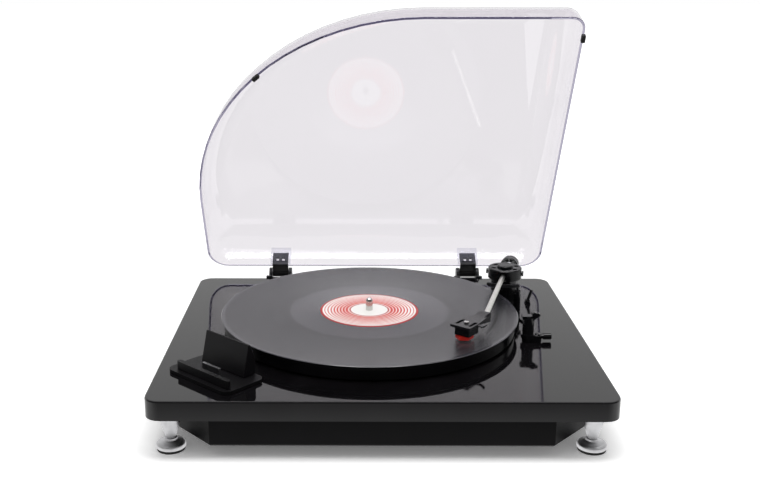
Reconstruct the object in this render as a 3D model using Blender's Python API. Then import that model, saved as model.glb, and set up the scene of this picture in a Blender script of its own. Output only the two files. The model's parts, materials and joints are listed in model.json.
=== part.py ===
"""Belt-driven turntable playing a record, with its clear lid open.

Metres, +Z up. The object is drawn in the frame of its deck, whose origin is the middle of the
plinth's top face, and the whole of it hangs from one empty that stands it on the floor, centred
under its own outline. Moving pieces hang from empties that lie on their axes.
"""
import math

import bmesh
import bpy
from mathutils import Matrix, Vector

MM = 0.001
FULL_TURN = 2 * math.pi
QUARTER_TURN = math.pi / 2

# What every piece shares
CLEARANCE = 0.3 * MM
OVERRUN = 2 * MM
FUSE = 0.8 * MM

# Layout: the record sets how far off the arm stands, and both set how far the plinth reaches
RECORD_RADIUS = 150.8 * MM
RECORD_GAP = 0.7 * MM
COLUMN_RADIUS = 14.5 * MM
PLATTER_X = -8.23 * MM
PLATTER_Y = 14.7 * MM
ARM_BEARING_ANGLE = math.radians(25.9744)
ARM_REACH = RECORD_RADIUS + RECORD_GAP + COLUMN_RADIUS
ARM_X = PLATTER_X + ARM_REACH * math.cos(ARM_BEARING_ANGLE)
ARM_Y = PLATTER_Y + ARM_REACH * math.sin(ARM_BEARING_ANGLE)
ARM_MARGIN = 63.247 * MM
FRONT_MARGIN = 23.45 * MM

# Plinth
PLINTH_WIDTH = 2 * (ARM_X + ARM_MARGIN)
PLINTH_DEPTH = 2 * (RECORD_RADIUS + FRONT_MARGIN)
PLINTH_HEIGHT = 18 * MM
PLINTH_CORNER = 14 * MM
PLINTH_WALL = 3 * MM
PLINTH_BEVEL = 1.5 * MM
PLATE_THICKNESS = 2.5 * MM
BOSS_RADIUS = 4.5 * MM

# Under housing
HOUSING_SIDE_INSET = 20.25 * MM
HOUSING_END_INSET = 6.25 * MM
HOUSING_WIDTH = PLINTH_WIDTH - 2 * HOUSING_SIDE_INSET
HOUSING_DEPTH = PLINTH_DEPTH - 2 * HOUSING_END_INSET
HOUSING_HEIGHT = 26.7 * MM
HOUSING_CUT_ALONG = 35 * MM
HOUSING_CUT_BACK = 38.5 * MM
HOUSING_WALL = 2.5 * MM
HOUSING_BEVEL = 2 * MM

# Pegs that hold one piece to the next, and studs of the feet
PEG_RADIUS = 1.5 * MM
PEG_PROUD = 2 * MM
STUD_RADIUS = 2 * MM
STUD_LENGTH = 11 * MM

# Feet
FOOT_TOP_RADIUS = 10.4 * MM
FOOT_NECK_RADIUS = 4.2 * MM
FOOT_COLLAR_RADIUS = 5.6 * MM
FOOT_DISC_RADIUS = 13.2 * MM
FOOT_BARREL = 5.7 * MM
FOOT_TAPER = 21.5 * MM
FOOT_COLLAR = 2.5 * MM
FOOT_DISC = 6.5 * MM
FOOT_PAD = 2.2 * MM
FOOT_PAD_RADIUS = 12.6 * MM
FOOT_SIDE_INSET = 18.25 * MM
FOOT_END_INSET = 27.25 * MM
FOOT_PITCH_X = PLINTH_WIDTH - 2 * FOOT_SIDE_INSET
FOOT_PITCH_Y = PLINTH_DEPTH - 2 * FOOT_END_INSET

DECK_HEIGHT = (PLINTH_HEIGHT + CLEARANCE + FOOT_BARREL + FOOT_TAPER + FOOT_COLLAR + FOOT_DISC
               + CLEARANCE + FOOT_PAD)

# Platter, mat and record
RECORD_OVERHANG = 3.3 * MM
PLATTER_RADIUS = RECORD_RADIUS - RECORD_OVERHANG
PLATTER_EDGE = 0.5 * MM
PLATTER_SKIRT = 4 * MM
PLATTER_WEB = 3 * MM
PLATTER_TOP = 13 * MM
PLATTER_GROUND_GAP = 2 * MM
BELT_RING_RADIUS = 90 * MM
BELT_RING_WALL = 4 * MM
BELT_RING_BOTTOM = 3.5 * MM
HUB_RADIUS = 9 * MM
SPINDLE_RADIUS = 3.55 * MM
SPINDLE_CHAMFER = 1.2 * MM
SPINDLE_RISE = 13 * MM
SPINDLE_DEPTH = 27.7 * MM
MAT_RADIUS = PLATTER_RADIUS - PLATTER_EDGE
MAT_THICKNESS = 1.3 * MM
RECORD_THICKNESS = 1.4 * MM
LABEL_RADIUS = 50 * MM
LABEL_RISE = 0.3 * MM

# Spindle bearing
BEARING_RADIUS = 8 * MM
BEARING_DEPTH = 31 * MM
BEARING_RISE = 1.5 * MM
FLANGE_RADIUS = 15 * MM
FLANGE_THICKNESS = 2.8 * MM

# Motor, pulley and belt
PULLEY_GAP = 12 * MM
MOTOR_BEARING_ANGLE = math.radians(135)
MOTOR_RADIUS = 18 * MM
MOTOR_HEIGHT = 22 * MM
MOTOR_FLANGE_RADIUS = 24 * MM
MOTOR_FLANGE = 2 * MM
MOTOR_SHAFT_RADIUS = 1 * MM
MOTOR_SHAFT_DEPTH = 14 * MM
PULLEY_RADIUS = 6 * MM
MOTOR_REACH = BELT_RING_RADIUS + PULLEY_GAP + PULLEY_RADIUS
PULLEY_LIP = 1.2 * MM
PULLEY_LIP_HEIGHT = 0.7 * MM
PULLEY_BOTTOM = 3.5 * MM
PULLEY_HEIGHT = 6.2 * MM
PULLEY_HOLE_RADIUS = 10 * MM
BELT_BOTTOM = 4.6 * MM
BELT_WIDTH = 4 * MM
BELT_THICKNESS = 0.8 * MM

# Circuit board and rear sockets
BOARD_WIDTH = 120 * MM
BOARD_DEPTH = 70 * MM
BOARD_THICKNESS = 1.6 * MM
BOARD_POST = 4 * MM
BOARD_POST_RADIUS = 3 * MM
BOARD_INSET = 6 * MM
BOARD_X = 70 * MM
CHIP_HEIGHT = 2.4 * MM
CAPACITOR_RADIUS = 4 * MM
CAPACITOR_HEIGHT = 9 * MM
SOCKET_DEPTH = 13 * MM
SOCKET_WALL = 1.5 * MM
USB_WIDTH = 12 * MM
USB_HEIGHT = 11 * MM
INLET_WIDTH = 10 * MM
INLET_HEIGHT = 11 * MM
INLET_BORE_RADIUS = 3.2 * MM
AUDIO_WIDTH = 30 * MM
AUDIO_HEIGHT = 13 * MM
AUDIO_PITCH = 15 * MM
AUDIO_BARREL_RADIUS = 4.1 * MM
AUDIO_BORE_RADIUS = 1.7 * MM
AUDIO_BARREL_LENGTH = 9 * MM
SOCKET_SPACING = 26 * MM
CABLE_RADIUS = 1.25 * MM

# Lid
LID_LEFT_INSET = 8.25 * MM
LID_RIGHT_INSET = 7.05 * MM
LID_SHORTER = 3.5 * MM
LID_LEFT = PLINTH_WIDTH / 2 - LID_LEFT_INSET
LID_RIGHT = PLINTH_WIDTH / 2 - LID_RIGHT_INSET
LID_LENGTH = PLINTH_DEPTH - LID_SHORTER
LID_BIG_CORNER = 240 * MM
LID_BACK_CORNER = 24 * MM
LID_FRONT_CORNER = 14 * MM
LID_SMALLEST_CORNER = 5 * MM
LID_DEPTH = 42 * MM
LID_WALL = 2.5 * MM
LID_FILLET = 32 * MM
LID_DRAFT = 1 * MM
LID_BACK = 9 * MM
LID_RIM_RISE = 3.1 * MM
LID_OPEN_ANGLE = math.radians(60)
BUMPER_WIDTH = 8 * MM
BUMPER_THICKNESS = 4 * MM
BUMPER_FROM_FRONT = 68.6 * MM
BUMPER_RIGHT_FROM_FRONT = 22.2 * MM
BUMPER_ALONG = LID_LENGTH - BUMPER_FROM_FRONT
BUMPER_RIGHT_ALONG = LID_LENGTH - BUMPER_RIGHT_FROM_FRONT

# Lid hinges
HINGE_LEFT_X = -111 * MM
HINGE_RIGHT_X = 112 * MM
HINGE_BEHIND = 11.75 * MM
HINGE_RISE = 2 * MM
HINGE_WIDTH = 27 * MM
HINGE_TAB_WIDTH = 33 * MM
HINGE_TAB_HEIGHT = 3 * MM
HINGE_PLATE = 3.5 * MM
HINGE_PLATE_DROP = 16 * MM
HINGE_CHEEK_RADIUS = 7 * MM
HINGE_PIN_RADIUS = 1.5 * MM
KNUCKLE_RADIUS = 4 * MM
LEAF_WIDTH = 18.5 * MM
LEAF_THICKNESS = 3.5 * MM
LEAF_DROP = 0.9 * MM
LEAF_REACH = 16.5 * MM
TONGUE_THICKNESS = 2.5 * MM
TONGUE_RISE = 15 * MM
TONGUE_HOLE_WIDTH = 3.1 * MM
TONGUE_HOLE_HEIGHT = 4.8 * MM
TONGUE_HOLE_PITCH = 6.6 * MM
TONGUE_HOLE_START = 2.4 * MM
SOCKET_BLOCK_WIDTH = 23.6 * MM
SOCKET_BLOCK_HEIGHT = 22 * MM
SOCKET_BLOCK_FRONT = 1.6 * MM

# Tonearm
ARM_PLAY_ANGLE = math.radians(16.5)
ARM_AXIS_HEIGHT = 34.2 * MM
ARM_DROP = 5 * MM
TUBE_RADIUS = 2.6 * MM
TUBE_BORE_RADIUS = 2 * MM
TUBE_LENGTH = 130 * MM
BLOCK_WIDTH = 12 * MM
BLOCK_LENGTH = 16 * MM
BLOCK_HEIGHT = 6 * MM
DRUM_RADIUS = 18.2 * MM
DRUM_WALL = 3.4 * MM
DRUM_BOTTOM = 28.8 * MM
DRUM_TOP = 40.2 * MM
DRUM_ROOF = 2 * MM
DRUM_BEVEL = 0.8 * MM
DRUM_BOSS_RADIUS = 8.5 * MM
DRUM_BOSS_HEIGHT = 1.4 * MM
DRUM_RECESS_DEPTH = 1 * MM
DRUM_WINDOW = 6.4 * MM
PIVOT_SCREW_RADIUS = 1.1 * MM
PIVOT_HEAD_RADIUS = 3 * MM
PIVOT_HEAD = 1.6 * MM
CARRIER_THICKNESS = 1 * MM
CARRIER_SHAFT_RADIUS = 3 * MM
COLUMN_FLANGE_LIP = 3.2 * MM
COLUMN_FLANGE_RADIUS = COLUMN_RADIUS + COLUMN_FLANGE_LIP
COLUMN_FLANGE = 4 * MM
COLUMN_FLOOR = 5.5 * MM
REAR_STUB_RADIUS = 2 * MM
REAR_STUB_LENGTH = 51 * MM
REAR_STUB_TILT = math.radians(4)
DIAL_DISTANCE = 34 * MM
DIAL_RADIUS = 9.7 * MM
DIAL_THICKNESS = 4 * MM
DIAL_LIP = 0.8 * MM
WEIGHT_RADIUS = 9.6 * MM
WEIGHT_LENGTH = 11 * MM
WEIGHT_BEVEL = 1.2 * MM

# Headshell, cartridge and stylus
HEADSHELL_TURN = math.radians(22)
HEADSHELL_LENGTH = 47 * MM
HEADSHELL_REAR_WIDTH = 11.2 * MM
HEADSHELL_MIDDLE_WIDTH = 20 * MM
HEADSHELL_FRONT_WIDTH = 21.4 * MM
HEADSHELL_SHOULDER = 29 * MM
HEADSHELL_TOP = 31 * MM
HEADSHELL_RISE_FLAT = 6 * MM
HEADSHELL_RISE_LENGTH = 12 * MM
HEADSHELL_GRIP_WALL = 0.7 * MM
TUBE_GRIP = 6 * MM
HEADSHELL_THICKNESS = 2.4 * MM
HEADSHELL_SKIRT = 5 * MM
HEADSHELL_SKIRT_LENGTH = 26 * MM
HEADSHELL_SKIRT_WALL = 1.4 * MM
SLOT_WIDTH = 3.2 * MM
SLOT_START = 28.5 * MM
SLOT_LENGTH = 14 * MM
SLOT_PITCH = 14 * MM
LIFT_WIDTH = 3.4 * MM
LIFT_REACH = 10 * MM
LIFT_THICKNESS = 1.2 * MM
LIFT_PLACE = 31 * MM
CARTRIDGE_START = 26.3 * MM
CARTRIDGE_LENGTH = 17 * MM
CARTRIDGE_WIDTH = 15.6 * MM
CARTRIDGE_HEIGHT = 8 * MM
STYLUS_WIDTH = 14.6 * MM
STYLUS_LENGTH = 14 * MM
STYLUS_START = 33.5 * MM
STYLUS_HEIGHT = 2.8 * MM
STYLUS_NOSE = 4.5 * MM
MOUNT_SCREW_RADIUS = 1.2 * MM
MOUNT_HEAD_RADIUS = 2.4 * MM
MOUNT_HEAD_HEIGHT = 1.2 * MM
TIP_RADIUS = 0.5 * MM

# Cue lift and arm rest
CUE_RADIUS = 32 * MM
CUE_BAR_WIDTH = 3 * MM
CUE_BAR_HEIGHT = 3 * MM
CUE_START = math.radians(-20)
CUE_END = math.radians(43)
CUE_POST_ANGLE = math.radians(-17)
CUE_POST_RADIUS = 3.5 * MM
CUE_ROD_RADIUS = 1.5 * MM
CUE_POST_TOP = 23.5 * MM
REST_ACROSS = 5.9 * MM
REST_REACH = 118.3 * MM
REST_X = ARM_X + REST_ACROSS
REST_Y = ARM_Y - REST_REACH
REST_RADIUS = 5.6 * MM
REST_COLLAR_RADIUS = 7 * MM
REST_COLLAR_START = 3 * MM
REST_COLLAR_END = 8 * MM
REST_CAP_WIDTH = 13 * MM
REST_CAP_DEPTH = 8 * MM
REST_CAP_HEIGHT = 2.8 * MM
REST_CHEEK = 1.6 * MM
REST_CHEEK_RISE = 2.4 * MM
CLIP_DEPTH = 3 * MM
CLIP_THICKNESS = 1.3 * MM
CLIP_GAP = 0.6 * MM
CLIP_PIN_RADIUS = 0.8 * MM
CLIP_EYE_RADIUS = 1.9 * MM
CLIP_PIVOT_X = 6 * MM
CLIP_PIVOT_RISE = 0.2 * MM
CLIP_OPEN_ANGLE = math.radians(100)
LEVER_PIVOT_X = 10.5 * MM
LEVER_PIVOT_Z = 5 * MM
LEVER_RADIUS = 2.8 * MM
LEVER_LENGTH = 11 * MM
LEVER_GRIP_RADIUS = 3.4 * MM
LEVER_GRIP_START = 4.6 * MM
LEVER_EAR = 2 * MM
LEVER_BOSS_WIDTH = 5 * MM
LEVER_PIN_RADIUS = 1 * MM

# Plate beside the pivot column and the speed selector on it
SIDE_PLATE_THICKNESS = 1.8 * MM
SIDE_PLATE_BEHIND = 51.6 * MM
SIDE_PLATE_BESIDE = 27 * MM
SIDE_PLATE_TURN = 39.4 * MM
SIDE_PLATE_TIP_ACROSS = 11 * MM
SIDE_PLATE_TIP_REACH = 69.4 * MM
SIDE_PLATE_LEFT_REACH = 35.4 * MM
SELECTOR_ACROSS = 24 * MM
SELECTOR_AHEAD = 11.9 * MM
SELECTOR_X = ARM_X + SELECTOR_ACROSS
SELECTOR_Y = ARM_Y - SELECTOR_AHEAD
SELECTOR_LEAN = math.radians(17.5)
SELECTOR_RADIUS = 1.6 * MM
SELECTOR_LENGTH = 13 * MM
SELECTOR_EAR = 1.6 * MM
SELECTOR_EAR_HEIGHT = 5 * MM

# Dock
DOCK_SIDE_INSET = 55.45 * MM
DOCK_FRONT_INSET = 54.75 * MM
DOCK_X = DOCK_SIDE_INSET - PLINTH_WIDTH / 2
DOCK_Y = DOCK_FRONT_INSET - PLINTH_DEPTH / 2
DOCK_ANGLE = math.radians(-42.5)
DOCK_LENGTH = 83.5 * MM
DOCK_WIDTH = 46 * MM
DOCK_THICKNESS = 3 * MM
DOCK_CORNER = 8 * MM
LEDGE_LENGTH = 70.5 * MM
LEDGE_SHIFT = 2.7 * MM
LEDGE_THICKNESS = 4.5 * MM
LEDGE_INSET = 5 * MM
LEDGE_HEIGHT = 8 * MM
BACKREST_LENGTH = 58 * MM
BACKREST_FRONT = 8 * MM
BACKREST_LEAN = 7 * MM
BACKREST_HEIGHT = 29 * MM
BACKREST_TIP = 2 * MM
BACKREST_REAR = 22.5 * MM
BACKREST_SHOULDER = 16 * MM
PLUG_WIDTH = 23 * MM
PLUG_THICKNESS = 2.5 * MM
PLUG_HEIGHT = 8 * MM
PLUG_PLACE = -4 * MM

# How finely round pieces are drawn
DISC_STEPS = 48
ROUND_STEPS = 24
SMALL_STEPS = 10
SCREW_STEPS = 8
FOOT_STEPS = 16
CORNER_STEPS = 6
ARC_STEPS = 18
SLOT_END_STEPS = 3

# Shares of the piece they belong to
RECESS_SHARE = 0.3
CARTRIDGE_HOLD_SHARE = 0.5
LEDGE_ROUND_SHARE = 0.45
CUE_ROD_DEPTH = 12 * MM
CLIP_START = math.radians(-15)
CLIP_END = math.radians(160)


def clear_scene():
    for thing in list(bpy.data.objects):
        bpy.data.objects.remove(thing)


def empty(name, place, parent=None, turn=(0, 0, 0)):
    """An axis or a group: other objects hang from it."""
    axis = bpy.data.objects.new(name, None)
    bpy.context.collection.objects.link(axis)
    axis.parent = parent
    axis.location = place
    axis.rotation_euler = turn
    return axis


def new_object(name, mesh, parent):
    thing = bpy.data.objects.new(name, mesh)
    bpy.context.collection.objects.link(thing)
    thing.parent = parent
    return thing


def from_bmesh(name, bm, parent, smooth_angle=math.radians(35)):
    bmesh.ops.recalc_face_normals(bm, faces=bm.faces)
    mesh = bpy.data.meshes.new(name)
    bm.to_mesh(mesh)
    bm.free()
    mesh.shade_smooth()
    mesh.set_sharp_from_angle(angle=smooth_angle)
    return new_object(name, mesh, parent)


def add_loft(bm, rings, closed=False):
    """Skin rings of equally many points; the ends are capped unless the last ring meets the first."""
    loops = [[bm.verts.new(point) for point in ring] for ring in rings]
    count = len(loops[0])
    spans = list(zip(loops, loops[1:]))
    if closed:
        spans.append((loops[-1], loops[0]))
    for low, high in spans:
        for i in range(count):
            j = (i + 1) % count
            bm.faces.new((low[i], low[j], high[j], high[i]))
    if not closed:
        bm.faces.new(loops[0])
        bm.faces.new(loops[-1])


def loft(name, rings, parent, closed=False):
    bm = bmesh.new()
    add_loft(bm, rings, closed)
    return from_bmesh(name, bm, parent)


def at_height(outline, height):
    return [(x, y, height) for x, y in outline]


def prism(name, outline, low, high, parent):
    """Raise a flat outline from one height to another."""
    return loft(name, [at_height(outline, low), at_height(outline, high)], parent)


def side_prism(name, outline, left, right, parent):
    """Carry an outline drawn in Y and Z along X."""
    return loft(name, [[(x, y, z) for y, z in outline] for x in (left, right)], parent)


def front_prism(name, outline, front, back, parent):
    """Carry an outline drawn in X and Z along Y."""
    return loft(name, [[(x, y, z) for x, z in outline] for y in (front, back)], parent)


def box(name, low, high, parent):
    """A block between two opposite corners."""
    outline = [(low[0], low[1]), (high[0], low[1]), (high[0], high[1]), (low[0], high[1])]
    return prism(name, outline, low[2], high[2], parent)


def arc(centre, radius, start, end, steps):
    """Points on an arc, from one angle to another, both included."""
    angles = [start + (end - start) * step / steps for step in range(steps + 1)]
    return [(centre[0] + radius * math.cos(a), centre[1] + radius * math.sin(a)) for a in angles]


def circle(radius, centre=(0, 0), steps=ROUND_STEPS):
    return arc(centre, radius, 0, FULL_TURN, steps)[:-1]


def rectangle(width, depth, centre=(0, 0)):
    x, y = centre
    return [(x - width / 2, y - depth / 2), (x + width / 2, y - depth / 2),
            (x + width / 2, y + depth / 2), (x - width / 2, y + depth / 2)]


def rounded_rectangle(width, depth, corner, centre=(0, 0), steps=CORNER_STEPS):
    points = []
    for quarter, (sign_x, sign_y) in enumerate([(1, 1), (-1, 1), (-1, -1), (1, -1)]):
        middle = (centre[0] + sign_x * (width / 2 - corner), centre[1] + sign_y * (depth / 2 - corner))
        points += arc(middle, corner, quarter * QUARTER_TURN, (quarter + 1) * QUARTER_TURN, steps)
    return points


def add_turned(bm, profile, steps, place=(0, 0, 0)):
    """Spin a (radius, height) outline about Z: closed, or open where both of its ends lie on the axis."""
    x, y, z = place
    points = [bm.verts.new((x + radius, y, z + height)) for radius, height in profile]
    edges = [bm.edges.new(pair) for pair in zip(points, points[1:])]
    if profile[0][0] > 0:
        edges.append(bm.edges.new((points[-1], points[0])))
    bmesh.ops.spin(bm, geom=points + edges, cent=place, axis=(0, 0, 1), angle=FULL_TURN,
                   steps=steps, use_merge=True)
    bmesh.ops.remove_doubles(bm, verts=bm.verts, dist=CLEARANCE / 100)


def turned(name, profile, parent, steps=ROUND_STEPS, places=((0, 0, 0),)):
    """One turned solid at each place, joined in one object as separate bodies."""
    bm = bmesh.new()
    for place in places:
        add_turned(bm, profile, steps, place)
    return from_bmesh(name, bm, parent)


def cylinder_profile(radius, low, high):
    return [(0, low), (radius, low), (radius, high), (0, high)]


def rods(name, radius, low, high, places, parent, steps=SMALL_STEPS):
    """Upright rods on a list of (x, y) places."""
    return turned(name, cylinder_profile(radius, low, high), parent, steps, [(x, y, 0) for x, y in places])


def helper(thing):
    thing.hide_render = True
    thing.display_type = "WIRE"
    return thing


def combine(target, tool, operation):
    change = target.modifiers.new(tool.name, "BOOLEAN")
    change.operation = operation
    change.object = helper(tool)
    return target


def cut(target, *tools):
    for tool in tools:
        combine(target, tool, "DIFFERENCE")
    return target


def join(target, *tools):
    for tool in tools:
        combine(target, tool, "UNION")
    return target


def paint(thing, color, roughness, metallic=0.0, alpha=1.0):
    """The sub-part's own material."""
    material = bpy.data.materials.new(thing.name)
    material.use_nodes = True
    shader = material.node_tree.nodes["Principled BSDF"]
    shader.inputs["Base Color"].default_value = (*color, 1)
    shader.inputs["Roughness"].default_value = roughness
    shader.inputs["Metallic"].default_value = metallic
    shader.inputs["Alpha"].default_value = alpha
    thing.data.materials.append(material)
    return thing


BLACK = (0.012, 0.012, 0.013)
CHARCOAL = (0.03, 0.03, 0.032)
GREY = (0.12, 0.12, 0.125)
SILVER = (0.62, 0.62, 0.63)
CLEAR = (0.93, 0.94, 0.96)
RED = (0.56, 0.02, 0.02)
GREEN = (0.02, 0.12, 0.05)

# Heights that several pieces share, measured from the deck
PLATE_TOP = -PLINTH_HEIGHT + PLATE_THICKNESS
HOUSING_TOP = -PLINTH_HEIGHT - CLEARANCE
HOUSING_BOTTOM = HOUSING_TOP - HOUSING_HEIGHT
PEG_HOLE = PEG_RADIUS + CLEARANCE
STUD_HOLE = STUD_RADIUS + CLEARANCE

# Places of the under housing's pegs, as shares of its width and depth
HOUSING_PEG_SHARES = [(-0.42, -0.33), (0.42, -0.33), (-0.42, 0.33), (0.42, 0.33), (0, -0.38)]


def housing_peg_places():
    return [(HOUSING_WIDTH * x, HOUSING_DEPTH * y) for x, y in HOUSING_PEG_SHARES]


def foot_places():
    return [(x * FOOT_PITCH_X / 2, y * FOOT_PITCH_Y / 2) for y in (-1, 1) for x in (-1, 1)]


def motor_place():
    return (PLATTER_X + MOTOR_REACH * math.cos(MOTOR_BEARING_ANGLE),
            PLATTER_Y + MOTOR_REACH * math.sin(MOTOR_BEARING_ANGLE))


def around(centre, radius, count, first=0.0):
    """Evenly spaced places on a circle."""
    angles = [first + FULL_TURN * i / count for i in range(count)]
    return [(centre[0] + radius * math.cos(a), centre[1] + radius * math.sin(a)) for a in angles]


def dock_point(along, across):
    """A deck place from one measured along and across the dock."""
    cos, sin = math.cos(DOCK_ANGLE), math.sin(DOCK_ANGLE)
    return (DOCK_X + along * cos - across * sin, DOCK_Y + along * sin + across * cos)


def cue_post_place():
    """The lift's post stands on an arc round the arm's upright axis; its angle counts from the front."""
    return (ARM_X - CUE_RADIUS * math.sin(CUE_POST_ANGLE), ARM_Y - CUE_RADIUS * math.cos(CUE_POST_ANGLE))


def arm_peg_places():
    return around((ARM_X, ARM_Y), (COLUMN_RADIUS + CARRIER_SHAFT_RADIUS) / 2, 3, QUARTER_TURN)


def dock_peg_places():
    """Under the dock's ledge, in the dock's own frame."""
    ledge = -DOCK_WIDTH / 2 + LEDGE_INSET + LEDGE_THICKNESS / 2
    return [(side * LEDGE_LENGTH / 3, ledge) for side in (-1, 1)]


def side_plate_peg_places():
    x = ARM_X + (SIDE_PLATE_TIP_ACROSS + SIDE_PLATE_BESIDE) / 2
    back = ARM_Y + SIDE_PLATE_BEHIND
    return [(x, ARM_Y - SIDE_PLATE_TURN), (SELECTOR_X, (SELECTOR_Y + back) / 2)]


def deck_peg_places():
    dock = [dock_point(*place) for place in dock_peg_places()]
    return arm_peg_places() + dock + side_plate_peg_places() + [(REST_X, REST_Y), cue_post_place()]


def motor_peg_places():
    return around(motor_place(), (MOTOR_RADIUS + MOTOR_FLANGE_RADIUS) / 2, 3)


def pegs(name, places, parent):
    """Pegs under a fitting, down through the deck."""
    return rods(name, PEG_RADIUS, -PLINTH_WALL - PEG_PROUD, CLEARANCE + FUSE, places, parent, SCREW_STEPS)


def pegged_posts(name, radius, low, seat, high, places, parent):
    """Posts that each carry a piece on their seat and hold it with a peg through it."""
    profile = [(0, low), (radius, low), (radius, seat), (PEG_RADIUS, seat), (PEG_RADIUS, high), (0, high)]
    return turned(name, profile, parent, SMALL_STEPS, [(x, y, 0) for x, y in places])


def plinth_ring(inset, height):
    outline = rounded_rectangle(PLINTH_WIDTH - 2 * inset, PLINTH_DEPTH - 2 * inset, PLINTH_CORNER - inset)
    return at_height(outline, height)


def hinge_places():
    return [HINGE_LEFT_X, HINGE_RIGHT_X]


def hinge_peg_spots(x):
    """(x, z) places of the two pegs behind one hinge, under its knuckle."""
    drop = -HINGE_PLATE_DROP / 2
    return [(x + side * LEAF_WIDTH / 4, drop) for side in (-1, 1)]


def forward_rods(name, radius, start, length, spots, parent):
    """Rods that run forward from a depth; spots are (x, z)."""
    bm = bmesh.new()
    for x, z in spots:
        add_turned(bm, cylinder_profile(radius, 0, length), SCREW_STEPS, (x, z, 0))
    made = from_bmesh(name, bm, parent)
    made.data.transform(Matrix.Translation((0, start, 0)) @ Matrix.Rotation(QUARTER_TURN, 4, "X"))
    return made


def make_plinth(deck):
    shell = loft("plinth_shell", [
        plinth_ring(PLINTH_WALL, -PLINTH_WALL),
        plinth_ring(PLINTH_WALL, -PLINTH_HEIGHT),
        plinth_ring(0, -PLINTH_HEIGHT),
        plinth_ring(0, -PLINTH_BEVEL),
        plinth_ring(PLINTH_BEVEL * (1 - math.sqrt(0.5)), -PLINTH_BEVEL * (1 - math.sqrt(0.5))),
        plinth_ring(PLINTH_BEVEL, 0),
    ], deck)
    boss_bottom = PLATE_TOP + CLEARANCE
    bosses = rods("plinth_bosses", BOSS_RADIUS, boss_bottom, -PLINTH_WALL + FUSE, foot_places(), deck)
    stud_holes = rods("plinth_stud_holes", STUD_HOLE, boss_bottom - OVERRUN,
                      HOUSING_TOP + STUD_LENGTH + CLEARANCE, foot_places(), deck, SCREW_STEPS)
    motor_pegs = rods("plinth_motor_pegs", PEG_RADIUS, -PLINTH_WALL - CLEARANCE - MOTOR_FLANGE - PEG_PROUD,
                      -PLINTH_WALL + FUSE, motor_peg_places(), deck, SCREW_STEPS)
    low = -PLINTH_WALL - OVERRUN
    deck_holes = rods("plinth_deck_holes", PEG_HOLE, low, OVERRUN, deck_peg_places(), deck, SCREW_STEPS)
    bearing_hole = rods("plinth_bearing_hole", BEARING_RADIUS + CLEARANCE, low, OVERRUN,
                        [(PLATTER_X, PLATTER_Y)], deck, ROUND_STEPS)
    pulley_hole = rods("plinth_pulley_hole", PULLEY_HOLE_RADIUS, low, OVERRUN, [motor_place()], deck,
                       ROUND_STEPS)
    spots = [spot for x in hinge_places() for spot in hinge_peg_spots(x)]
    hinge_holes = forward_rods("plinth_hinge_holes", PEG_HOLE, PLINTH_DEPTH / 2 + OVERRUN,
                               PLINTH_WALL + 2 * OVERRUN, spots, deck)
    join(shell, bosses, motor_pegs)
    cut(shell, stud_holes, deck_holes, bearing_hole, pulley_hole, hinge_holes)
    return paint(shell, BLACK, 0.08)


def make_bottom_plate(deck):
    inset = PLINTH_WALL + CLEARANCE
    outline = rounded_rectangle(PLINTH_WIDTH - 2 * inset, PLINTH_DEPTH - 2 * inset, PLINTH_CORNER - inset)
    plate = prism("bottom_plate", outline, -PLINTH_HEIGHT, PLATE_TOP, deck)
    low, high = -PLINTH_HEIGHT - OVERRUN, PLATE_TOP + OVERRUN
    peg_holes = rods("plate_peg_holes", PEG_HOLE, low, high, housing_peg_places(), deck, SCREW_STEPS)
    stud_holes = rods("plate_stud_holes", STUD_HOLE, low, high, foot_places(), deck, SCREW_STEPS)
    motor_hole = rods("plate_motor_hole", MOTOR_RADIUS + PLATE_THICKNESS, low, high, [motor_place()], deck,
                      ROUND_STEPS)
    bearing_hole = rods("plate_bearing_hole", BEARING_RADIUS + CLEARANCE, low, high, [(PLATTER_X, PLATTER_Y)],
                        deck, ROUND_STEPS)
    return paint(cut(plate, peg_holes, stud_holes, motor_hole, bearing_hole), CHARCOAL, 0.6)


def housing_ring(inset, height):
    """A rectangle with its four corners cut off, every side moved inwards alike."""
    half_x, half_y = HOUSING_WIDTH / 2, HOUSING_DEPTH / 2
    slope = math.hypot(HOUSING_CUT_ALONG, HOUSING_CUT_BACK)
    normal_x, normal_y = HOUSING_CUT_BACK / slope, HOUSING_CUT_ALONG / slope
    reach = normal_x * half_x + normal_y * (half_y - HOUSING_CUT_BACK) - inset
    side_y = (reach - normal_x * (half_x - inset)) / normal_y
    front_x = (reach - normal_y * (half_y - inset)) / normal_x
    corner = [(half_x - inset, side_y), (front_x, half_y - inset)]
    outline = corner + [(-x, y) for x, y in reversed(corner)]
    outline += [(-x, -y) for x, y in corner] + [(x, -y) for x, y in reversed(corner)]
    return at_height(outline, height)


def make_under_housing(deck):
    floor = HOUSING_BOTTOM + HOUSING_WALL
    tray = loft("under_housing", [
        housing_ring(HOUSING_WALL, floor),
        housing_ring(HOUSING_WALL, HOUSING_TOP),
        housing_ring(0, HOUSING_TOP),
        housing_ring(0, HOUSING_BOTTOM + HOUSING_BEVEL),
        housing_ring(HOUSING_BEVEL, HOUSING_BOTTOM),
    ], deck)
    bosses = pegged_posts("housing_bosses", BOSS_RADIUS, floor - FUSE, HOUSING_TOP, PLATE_TOP + PEG_PROUD,
                          housing_peg_places(), deck)
    post_top = floor + BOARD_POST
    posts = pegged_posts("housing_board_posts", BOARD_POST_RADIUS, floor - FUSE, post_top,
                         post_top + CLEARANCE + BOARD_THICKNESS + PEG_PROUD, board_peg_places(), deck)
    join(tray, bosses, posts)
    cut(tray, *socket_openings(deck))
    return paint(tray, CHARCOAL, 0.5)


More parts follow.
